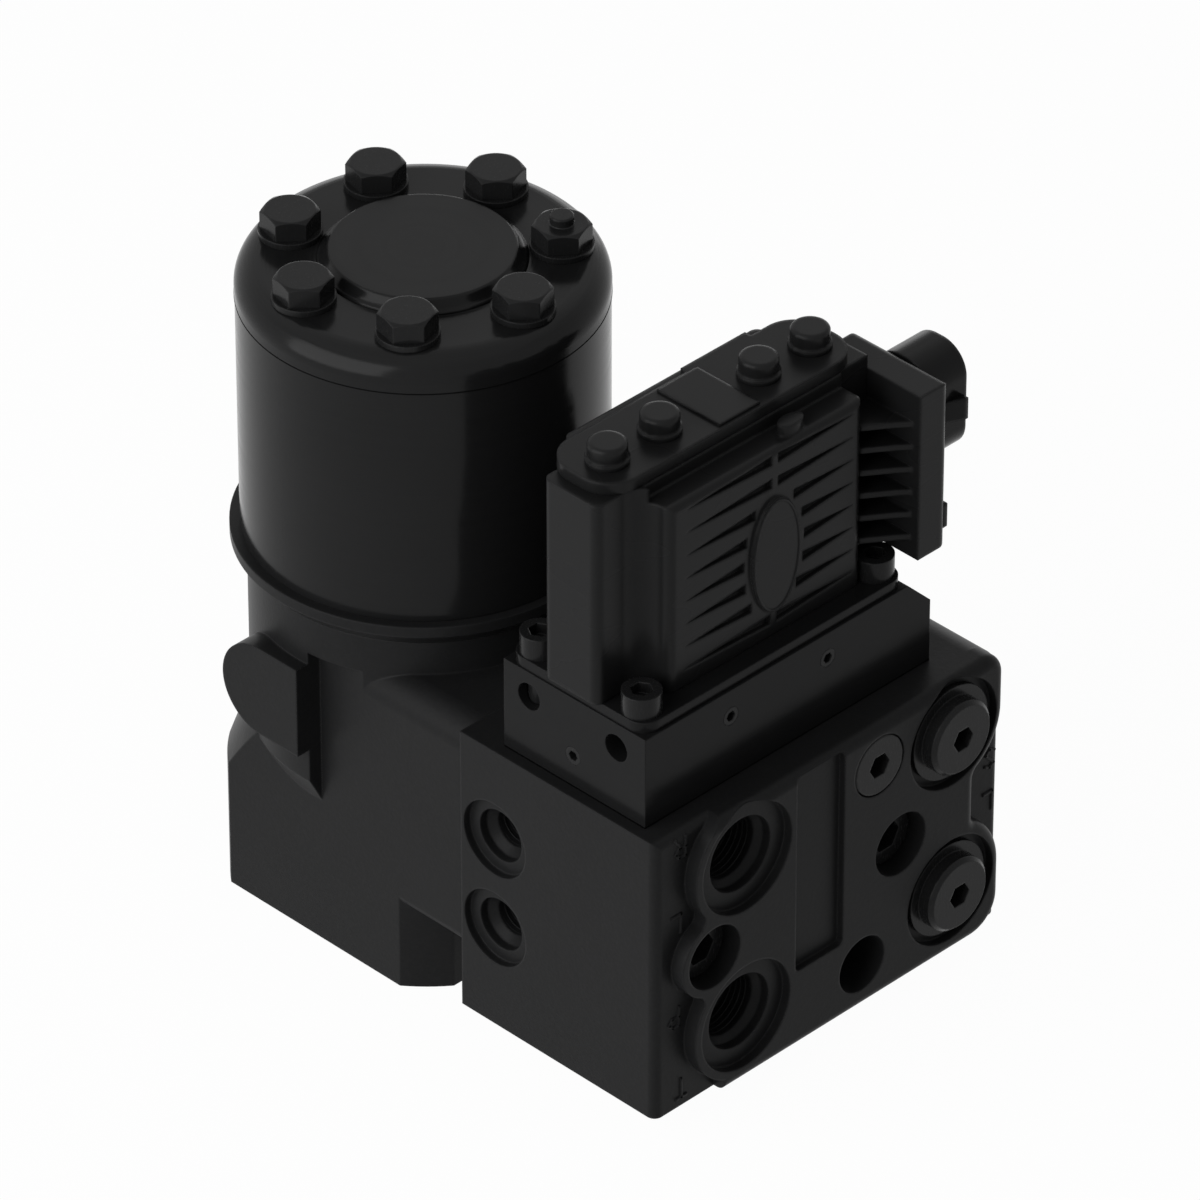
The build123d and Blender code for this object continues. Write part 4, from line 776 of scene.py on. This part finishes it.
def softened_block(low, high, radius):
    """Vertices and faces of a block with rounded edges."""
    block = bmesh.new()
    bmesh.ops.create_cube(block, size=1.0)
    middle = (low + high) / 2
    for corner in block.verts:
        corner.co = middle + Vector(share * side for share, side in zip(corner.co, high - low))
    edges = list(block.edges)
    bmesh.ops.bevel(
        block, geom=edges, offset=radius, segments=3, profile=0.5, affect="EDGES", clamp_overlap=True
    )
    block.verts.ensure_lookup_table()
    vertices = [corner.co.copy() for corner in block.verts]
    faces = [tuple(corner.index for corner in face.verts) for face in block.faces]
    block.free()
    return vertices, faces


def wedge(corners, low, high):
    """Vertices and faces of a flat-topped wedge: an outline in x and y, between two heights."""
    return stacked_rings([[Vector((x, y, height)) for x, y in corners] for height in (low, high)])


def mount_place(name):
    """Position, outward axis, radius and length of one of the record's round mounts, in metres."""
    millimetre = 0.001
    for mount in frame["record"]["mounts"]:
        if mount["name"] == name:
            radius = mount["dims"]["r_mm"] * millimetre
            length = mount["dims"]["length_mm"] * millimetre
            return Vector(mount["pos_m"]), Vector(mount["axis"]), radius, length
    raise RuntimeError(f"the record has no mount named {name}")


def settings_of(context):
    """The colours and sizes that the panel shows."""
    return context.scene.steering_colours, context.scene.steering_sizes


class STEERING_OT_castings(bpy.types.Operator):
    """Black paint on the cast housing and the valve block"""

    bl_idname = "steering.castings"
    bl_label = "Castings"

    def execute(self, context):
        colours, sizes = settings_of(context)
        finish_nodes(("housing", "valve_block"), cast_finish("painted_casting", colours.casting, sizes))
        return {"FINISHED"}


class STEERING_OT_gear_case(bpy.types.Operator):
    """Turned black finish on the gear ring and the end cover"""

    bl_idname = "steering.gear_case"
    bl_label = "Gear ring and cover"

    def execute(self, context):
        colours, sizes = settings_of(context)
        finish = turned_finish(
            "turned_black", colours.machined, sizes, metallic=0.0, roughness=0.17, specular=0.10
        )
        finish_nodes(("gear_ring", "end_cover"), finish)
        return {"FINISHED"}


class STEERING_OT_plates(bpy.types.Operator):
    """Milled black finish on the adaptor plate and the module's base plate"""

    bl_idname = "steering.plates"
    bl_label = "Plates"

    def execute(self, context):
        colours, sizes = settings_of(context)
        long_marks = (0.06, 1.0, 1.0)
        finish = milled_finish(
            "milled_black", colours.machined, sizes, long_marks, metallic=0.0, roughness=0.20, specular=0.055
        )
        finish_nodes(("adaptor_plate", "base_plate"), finish)
        return {"FINISHED"}


class STEERING_OT_fasteners(bpy.types.Operator):
    """Black oxide on screws, washers and plugs"""

    bl_idname = "steering.fasteners"
    bl_label = "Screws and plugs"

    def execute(self, context):
        colours, sizes = settings_of(context)
        finish = milled_finish(
            "black_oxide", colours.fastener, sizes, DRAWN_MARKS, metallic=0.0, roughness=0.24, specular=0.10
        )
        finish_nodes(
            (
                "cover_screws", "pin_screw", "cover_washers", "block_screws", "module_screws",
                "port_plugs", "flush_plug", "bore_plug", "sump_plug", "set_screws",
            ),
            finish,
        )
        return {"FINISHED"}


class STEERING_OT_module(bpy.types.Operator):
    """Moulded finish on the control module, its lid, caps and bare plate"""

    bl_idname = "steering.module"
    bl_label = "Control module"

    def execute(self, context):
        colours, sizes = settings_of(context)
        finish = moulded_finish("moulded_black", colours.module, sizes, roughness=0.27, specular=0.08)
        finish_nodes(("module_housing", "module_lid", "connector_tower"), finish)
        smooth = moulded_finish("smooth_black", colours.module, sizes, roughness=0.22, specular=0.09)
        finish_nodes(("solenoid_caps", "tag_plate"), smooth)
        return {"FINISHED"}


class STEERING_OT_connector(bpy.types.Operator):
    """Glossy finish on the plug socket and plating on its contacts"""

    bl_idname = "steering.connector"
    bl_label = "Plug socket"

    def execute(self, context):
        colours, sizes = settings_of(context)
        finish = moulded_finish("socket_black", colours.connector, sizes, roughness=0.18, specular=0.075)
        finish_nodes(("connector_socket",), finish)
        along_pins = (0.2, 1.0, 1.0)
        contact = milled_finish(
            "plated_contact", colours.contact, sizes, along_pins, metallic=1.0, roughness=0.28, specular=0.5
        )
        finish_nodes(("contact_pins",), contact)
        return {"FINISHED"}


class STEERING_OT_inner_parts(bpy.types.Operator):
    """Ground steel, springs, seals and the needle cage inside the unit"""

    bl_idname = "steering.inner_parts"
    bl_label = "Parts inside"

    def execute(self, context):
        colours, sizes = settings_of(context)
        ground = turned_finish(
            "ground_steel", colours.ground_steel, sizes, metallic=1.0, roughness=0.30, specular=0.5
        )
        finish_nodes(
            (
                "distributor_plate", "rotor", "cardan_shaft", "spacer", "sleeve", "spool", "cross_pin",
                "lower_race", "upper_race", "needles", "relief_seat", "relief_poppet", "check_seat",
                "check_stop", "check_ball", "block_spool",
            ),
            ground,
        )
        steel = colours.spring_steel
        springs = milled_finish(
            "spring_steel", steel, sizes, EVEN_MARKS, metallic=1.0, roughness=0.38, specular=0.5
        )
        finish_nodes(("leaf_springs", "left_spring", "right_spring", "relief_spring"), springs)
        seals = moulded_finish("seal_rubber", colours.seal, sizes, roughness=0.62, specular=0.3)
        finish_nodes(("lower_face_seal", "upper_face_seal", "dust_seal", "shaft_seal"), seals)
        cage = moulded_finish("cage_plastic", colours.cage, sizes, roughness=0.5, specular=0.4)
        finish_nodes(("needle_cage",), cage)
        return {"FINISHED"}


class STEERING_OT_port_threads(bpy.types.Operator):
    """Thread ridges in the open hose ports"""

    bl_idname = "steering.port_threads"
    bl_label = "Port threads"

    def execute(self, context):
        colours, sizes = settings_of(context)
        finish = milled_finish(
            "cut_thread", colours.machined, sizes, EVEN_MARKS, metallic=0.0, roughness=0.34, specular=0.07
        )
        along_x, along_y = Vector((1.0, 0.0, 0.0)), Vector((0.0, 1.0, 0.0))
        groups = (
            ("hose_port_threads", ("upper_hose_port", "lower_hose_port"), along_x, sizes.thread_pitch),
            ("side_port_threads", ("upper_side_port", "lower_side_port"), along_y, sizes.side_pitch),
        )
        for name, ports, across, pitch in groups:
            ridges = []
            for port in ports:
                mouth, outwards, radius, length = mount_place(port)
                ridges.append(helix_ridge(mouth, outwards, across, radius, pitch, sizes.thread_depth, length))
            vertices, faces = joined(ridges)
            new_piece(name, vertices, faces, finish, "cast_housing", smooth=False)
        return {"FINISHED"}


class STEERING_OT_cover_screws(bpy.types.Operator):
    """Hexagon screws of the end cover, with turned chamfers on their heads"""

    bl_idname = "steering.cover_screws"
    bl_label = "Cover screws"

    def execute(self, context):
        colours, sizes = settings_of(context)
        finish = milled_finish(
            "screw_black", colours.fastener, sizes, DRAWN_MARKS, metallic=0.0, roughness=0.22, specular=0.09
        )
        circle, first_turn = 0.034, math.radians(14.0)
        count, pin = 7, 6
        stub_radius, stub_chamfer, stub_sunk = 0.0030, 0.0003, 0.0004
        low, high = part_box("cover_screws")
        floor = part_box("distributor_plate")[0].z
        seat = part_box("cover_washers")[1].z
        stub_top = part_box("pin_screw")[1].z
        centres = []
        for index in range(count):
            turn = first_turn + 2 * math.pi * index / count
            centres.append(Vector((circle * math.cos(turn), circle * math.sin(turn), 0.0)))
        screws = [
            hexagon_screw(centre, low.z, floor, seat, high.z, sizes.head_width, sizes.head_turn)
            for centre in centres
        ]
        profile = (
            (stub_radius, high.z - stub_sunk),
            (stub_radius, stub_top - stub_chamfer),
            (stub_radius - stub_chamfer, stub_top),
        )
        stub = turned_body(profile, centres[pin], 40)
        plain = joined(screws[:pin] + screws[pin + 1:])
        pinned = joined([screws[pin], stub])
        heads = new_piece("chamfered_screws", *plain, finish, "dark_fastener", smooth=False)
        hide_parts("cover_screws")
        pin_head = new_piece("chamfered_pin_screw", *pinned, finish, "dark_fastener", smooth=False)
        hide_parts("pin_screw")
        return {"FINISHED"}


class STEERING_OT_cover_foot(bpy.types.Operator):
    """Sloped foot round the raised disc of the end cover"""

    bl_idname = "steering.cover_foot"
    bl_label = "Cover foot"

    def execute(self, context):
        colours, sizes = settings_of(context)
        finish = turned_finish(
            "foot_black", colours.machined, sizes, metallic=0.0, roughness=0.20, specular=0.10
        )
        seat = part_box("cover_washers")[0].z
        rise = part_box("end_cover")[1].z - seat
        hidden_radius, clearance = 0.0220, 0.0001
        slope = ((0.0253, 0.07), (0.0245, 0.24), (0.0239, 0.50), (0.0234, 0.80), (0.02302, 0.985))
        profile = [(hidden_radius, seat + clearance), (0.0259, seat + clearance)]
        profile.extend((radius, seat + rise * share) for radius, share in slope)
        profile.append((hidden_radius, profile[-1][1]))
        foot = turned_body(profile, COLUMN_CENTRE, 180, hollow=True)
        new_piece("cover_foot", *foot, finish, "dark_steel", smooth=True)
        return {"FINISHED"}


class STEERING_OT_clips(bpy.types.Operator):
    """Clip tab on the finned housing and the latch on the plug socket"""

    bl_idname = "steering.clips"
    bl_label = "Clip and latch"

    def execute(self, context):
        colours, sizes = settings_of(context)
        finish = moulded_finish("clip_black", colours.connector, sizes, roughness=0.20, specular=0.09)
        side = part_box("connector_tower")[1].x
        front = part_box("connector_socket")[0].y
        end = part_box("connector_socket")[1].x
        tab_low = Vector((side - 0.0005, -0.1160, 0.1300))
        tab_high = Vector((side + 0.0014, -0.1110, 0.1370))
        tab = softened_block(tab_low, tab_high, 0.0004)
        foot, catch = front + 0.0002, front - 0.0024
        nose, crest, heel = end - 0.0085, end - 0.0028, end - 0.0018
        latch_low, latch_high = 0.1555, 0.1615
        latch = wedge(((nose, foot), (crest, catch), (heel, catch), (heel, foot)), latch_low, latch_high)
        new_piece("clip_and_latch", *joined([tab, latch]), finish, "connector_black", smooth=False)
        return {"FINISHED"}


class STEERING_OT_port_letters(bpy.types.Operator):
    """Small cast letters beside the ports"""

    bl_idname = "steering.port_letters"
    bl_label = "Port letters"

    def execute(self, context):
        colours, sizes = settings_of(context)
        finish = cast_finish("letter_casting", colours.casting, sizes)
        boss_rise = 0.004
        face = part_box("valve_block")[0].y + boss_rise
        places = (
            ("R", -0.0330, 0.0865), ("L", -0.0345, 0.0640), ("P", -0.0350, 0.0360),
            ("T", -0.0325, 0.0135), ("S", 0.0755, 0.0570), ("L", 0.0750, 0.0440),
        )
        letters = [
            cast_letter(letter, x, face, z, sizes.mark_height, sizes.mark_relief) for letter, x, z in places
        ]
        new_piece("port_letters", *joined(letters), finish, "cast_housing", smooth=False)
        return {"FINISHED"}


class STEERING_OT_badge(bpy.types.Operator):
    """Raised rim round the bare oval on the module"""

    bl_idname = "steering.badge"
    bl_label = "Oval rim"

    def execute(self, context):
        colours, sizes = settings_of(context)
        finish = moulded_finish("rim_black", colours.module, sizes, roughness=0.24, specular=0.09)
        centre_x, face, centre_z = 0.0118, -0.1089, 0.1438
        half_width, half_height, rise = 0.0081, 0.0162, 0.0003
        rim = oval_rim(centre_x, face, centre_z, half_width, half_height, sizes.badge_rim, rise)
        new_piece("badge_rim", *rim, finish, "module_black", smooth=False)
        return {"FINISHED"}


class STEERING_OT_joint_lines(bpy.types.Operator):
    """Dark lines where the cover meets the gear ring and the adaptor meets the block"""

    bl_idname = "steering.joint_lines"
    bl_label = "Joint lines"

    def execute(self, context):
        colours, sizes = settings_of(context)
        finish = moulded_finish("joint_black", tinted(colours.seal, 0.2), sizes, roughness=0.8, specular=0.02)
        inner, outer = 0.0450, 0.04605
        half = sizes.joint_line / 2
        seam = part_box("end_cover")[0].z
        profile = ((inner, seam - half), (outer, seam - half), (outer, seam + half), (inner, seam + half))
        ring = turned_body(profile, COLUMN_CENTRE, 160, hollow=True)
        sunk, reach = 0.0001, 0.00005
        low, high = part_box("adaptor_plate")
        corners = ((low.x, low.y), (high.x, low.y), (high.x, high.y), (low.x, high.y))
        outline = [Vector(corner) for corner in corners]
        seam_band = band(outline, low.z - sunk, low.z + sizes.joint_line, reach)
        new_piece("joint_lines", *joined([ring, seam_band]), finish, "dark_steel", smooth=False)
        return {"FINISHED"}


class STEERING_OT_stage(bpy.types.Operator):
    """Floor, lamps, pale surroundings and the camera"""

    bl_idname = "steering.stage"
    bl_label = "Stage"

    def execute(self, context):
        stage = context.scene.steering_stage
        colours = context.scene.steering_colours
        self.lay_floor(stage, colours)
        self.light_world(context, stage)
        self.hang_lamps(stage)
        self.set_camera(context, stage)
        context.scene.view_settings.view_transform = "Standard"
        return {"FINISHED"}

    def seen_directly(self, tree):
        """1 for camera, glossy and transmission rays."""
        path = tree.nodes.new("ShaderNodeLightPath")
        first = tree.nodes.new("ShaderNodeMath")
        first.operation = "MAXIMUM"
        second = tree.nodes.new("ShaderNodeMath")
        second.operation = "MAXIMUM"
        tree.links.new(path.outputs["Is Camera Ray"], first.inputs[0])
        tree.links.new(path.outputs["Is Glossy Ray"], first.inputs[1])
        tree.links.new(first.outputs["Value"], second.inputs[0])
        tree.links.new(path.outputs["Is Transmission Ray"], second.inputs[1])
        return second.outputs["Value"]

    def lay_floor(self, stage, colours):
        """A matt floor that the camera and reflections see as nearly white."""
        white_share = 0.97
        half = stage.floor_size / 2
        corners = [(-half, -half, 0), (half, -half, 0), (half, half, 0), (-half, half, 0)]
        mesh = bpy.data.meshes.new("floor")
        mesh.from_pydata(corners, [], [(0, 1, 2, 3)])
        floor = bpy.data.objects.new("floor", mesh)
        bpy.context.scene.collection.objects.link(floor)
        paint = bpy.data.materials.new("pale_floor")
        paint.use_nodes = True
        tree = paint.node_tree
        tree.nodes.clear()
        output = tree.nodes.new("ShaderNodeOutputMaterial")
        matt = tree.nodes.new("ShaderNodeBsdfDiffuse")
        matt.inputs["Color"].default_value = (*colours.floor, 1.0)
        bright = tree.nodes.new("ShaderNodeEmission")
        bright.inputs["Color"].default_value = (1.0, 1.0, 1.0, 1.0)
        bright.inputs["Strength"].default_value = 1.0
        share = tree.nodes.new("ShaderNodeMath")
        share.operation = "MULTIPLY"
        share.inputs[1].default_value = white_share
        blend = tree.nodes.new("ShaderNodeMixShader")
        tree.links.new(self.seen_directly(tree), share.inputs[0])
        tree.links.new(share.outputs["Value"], blend.inputs["Fac"])
        tree.links.new(matt.outputs["BSDF"], blend.inputs[1])
        tree.links.new(bright.outputs["Emission"], blend.inputs[2])
        tree.links.new(blend.outputs["Shader"], output.inputs["Surface"])
        mesh.materials.append(paint)

    def light_world(self, context, stage):
        """Even light all round, seen as white."""
        world = bpy.data.worlds.new("pale_surroundings")
        world.use_nodes = True
        tree = world.node_tree
        tree.nodes.clear()
        output = tree.nodes.new("ShaderNodeOutputWorld")
        ambient = tree.nodes.new("ShaderNodeBackground")
        ambient.inputs["Color"].default_value = (1.0, 1.0, 1.0, 1.0)
        ambient.inputs["Strength"].default_value = stage.ambient
        white = tree.nodes.new("ShaderNodeBackground")
        white.inputs["Color"].default_value = (1.0, 1.0, 1.0, 1.0)
        white.inputs["Strength"].default_value = 1.0
        blend = tree.nodes.new("ShaderNodeMixShader")
        tree.links.new(self.seen_directly(tree), blend.inputs["Fac"])
        tree.links.new(ambient.outputs["Background"], blend.inputs[1])
        tree.links.new(white.outputs["Background"], blend.inputs[2])
        tree.links.new(blend.outputs["Shader"], output.inputs["Surface"])
        context.scene.world = world

    def hang_lamps(self, stage):
        """Soft square lamps: name, place, width and power."""
        target = Vector((0.01, -0.04, 0.09))
        lamps = (
            ("left_lamp", (-1.45, 0.15, 0.55), 1.7, stage.key_power),
            ("right_lamp", (0.35, -1.25, 0.60), 0.8, stage.fill_power),
            ("top_lamp", (0.10, 0.10, 1.45), 2.2, stage.top_power),
            ("back_lamp", (1.40, 1.10, 0.15), 1.2, stage.back_power),
        )
        for name, place, size, power in lamps:
            light = bpy.data.lights.new(name, "AREA")
            light.shape = "SQUARE"
            light.size = size
            light.energy = power
            lamp = bpy.data.objects.new(name, light)
            lamp.location = place
            lamp.rotation_euler = (target - Vector(place)).to_track_quat("-Z", "Y").to_euler()
            bpy.context.scene.collection.objects.link(lamp)

    def set_camera(self, context, stage):
        """A long lens that looks down at the unit from its front left."""
        sine, cosine = math.sin(stage.elevation), math.cos(stage.elevation)
        east, north = math.cos(stage.azimuth), math.sin(stage.azimuth)
        right = Vector((east, -north, 0.0))
        up = Vector((sine * north, sine * east, cosine))
        back = Vector((-cosine * north, -cosine * east, sine))
        lens = bpy.data.cameras.new("view_camera")
        lens.sensor_width = 36.0
        lens.lens = stage.lens
        lens.clip_start = 0.1
        lens.clip_end = 50.0
        camera = bpy.data.objects.new("view_camera", lens)
        place = right * stage.aim_right + up * stage.aim_up + back * stage.distance
        turn = Matrix((right, up, back)).transposed().to_4x4()
        camera.matrix_world = Matrix.Translation(place) @ turn
        context.scene.collection.objects.link(camera)
        context.scene.camera = camera


class STEERING_PT_panel(bpy.types.Panel):
    """Lists the steps that dress the steering unit"""

    bl_idname = "STEERING_PT_panel"
    bl_label = "Steering unit"
    bl_space_type = "VIEW_3D"
    bl_region_type = "UI"
    bl_category = "Steering unit"

    def draw(self, context):
        for operator in OPERATORS:
            self.layout.operator(operator.bl_idname)
        for settings in (
            context.scene.steering_colours,
            context.scene.steering_sizes,
            context.scene.steering_stage,
        ):
            column = self.layout.column()
            for name in settings.__annotations__:
                column.prop(settings, name)


OPERATORS = (
    STEERING_OT_castings,
    STEERING_OT_gear_case,
    STEERING_OT_plates,
    STEERING_OT_fasteners,
    STEERING_OT_module,
    STEERING_OT_connector,
    STEERING_OT_inner_parts,
    STEERING_OT_port_threads,
    STEERING_OT_cover_screws,
    STEERING_OT_cover_foot,
    STEERING_OT_clips,
    STEERING_OT_port_letters,
    STEERING_OT_badge,
    STEERING_OT_joint_lines,
    STEERING_OT_stage,
)
SETTINGS = (SteeringUnitColours, SteeringUnitSizes, SteeringUnitStage)


def register():
    for settings in SETTINGS:
        bpy.utils.register_class(settings)
    for operator in OPERATORS:
        bpy.utils.register_class(operator)
    bpy.utils.register_class(STEERING_PT_panel)
    bpy.types.Scene.steering_colours = PointerProperty(type=SteeringUnitColours)
    bpy.types.Scene.steering_sizes = PointerProperty(type=SteeringUnitSizes)
    bpy.types.Scene.steering_stage = PointerProperty(type=SteeringUnitStage)


def unregister():
    del bpy.types.Scene.steering_stage
    del bpy.types.Scene.steering_sizes
    del bpy.types.Scene.steering_colours
    bpy.utils.unregister_class(STEERING_PT_panel)
    for operator in reversed(OPERATORS):
        bpy.utils.unregister_class(operator)
    for settings in reversed(SETTINGS):
        bpy.utils.unregister_class(settings)


def main():
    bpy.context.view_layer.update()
    register()
    bpy.ops.steering.castings()
    bpy.ops.steering.gear_case()
    bpy.ops.steering.plates()
    bpy.ops.steering.fasteners()
    bpy.ops.steering.module()
    bpy.ops.steering.connector()
    bpy.ops.steering.inner_parts()
    bpy.ops.steering.port_threads()
    bpy.ops.steering.cover_screws()
    bpy.ops.steering.cover_foot()
    bpy.ops.steering.clips()
    bpy.ops.steering.port_letters()
    bpy.ops.steering.badge()
    bpy.ops.steering.joint_lines()
    bpy.ops.steering.stage()


if __name__ == "__main__":
    main()
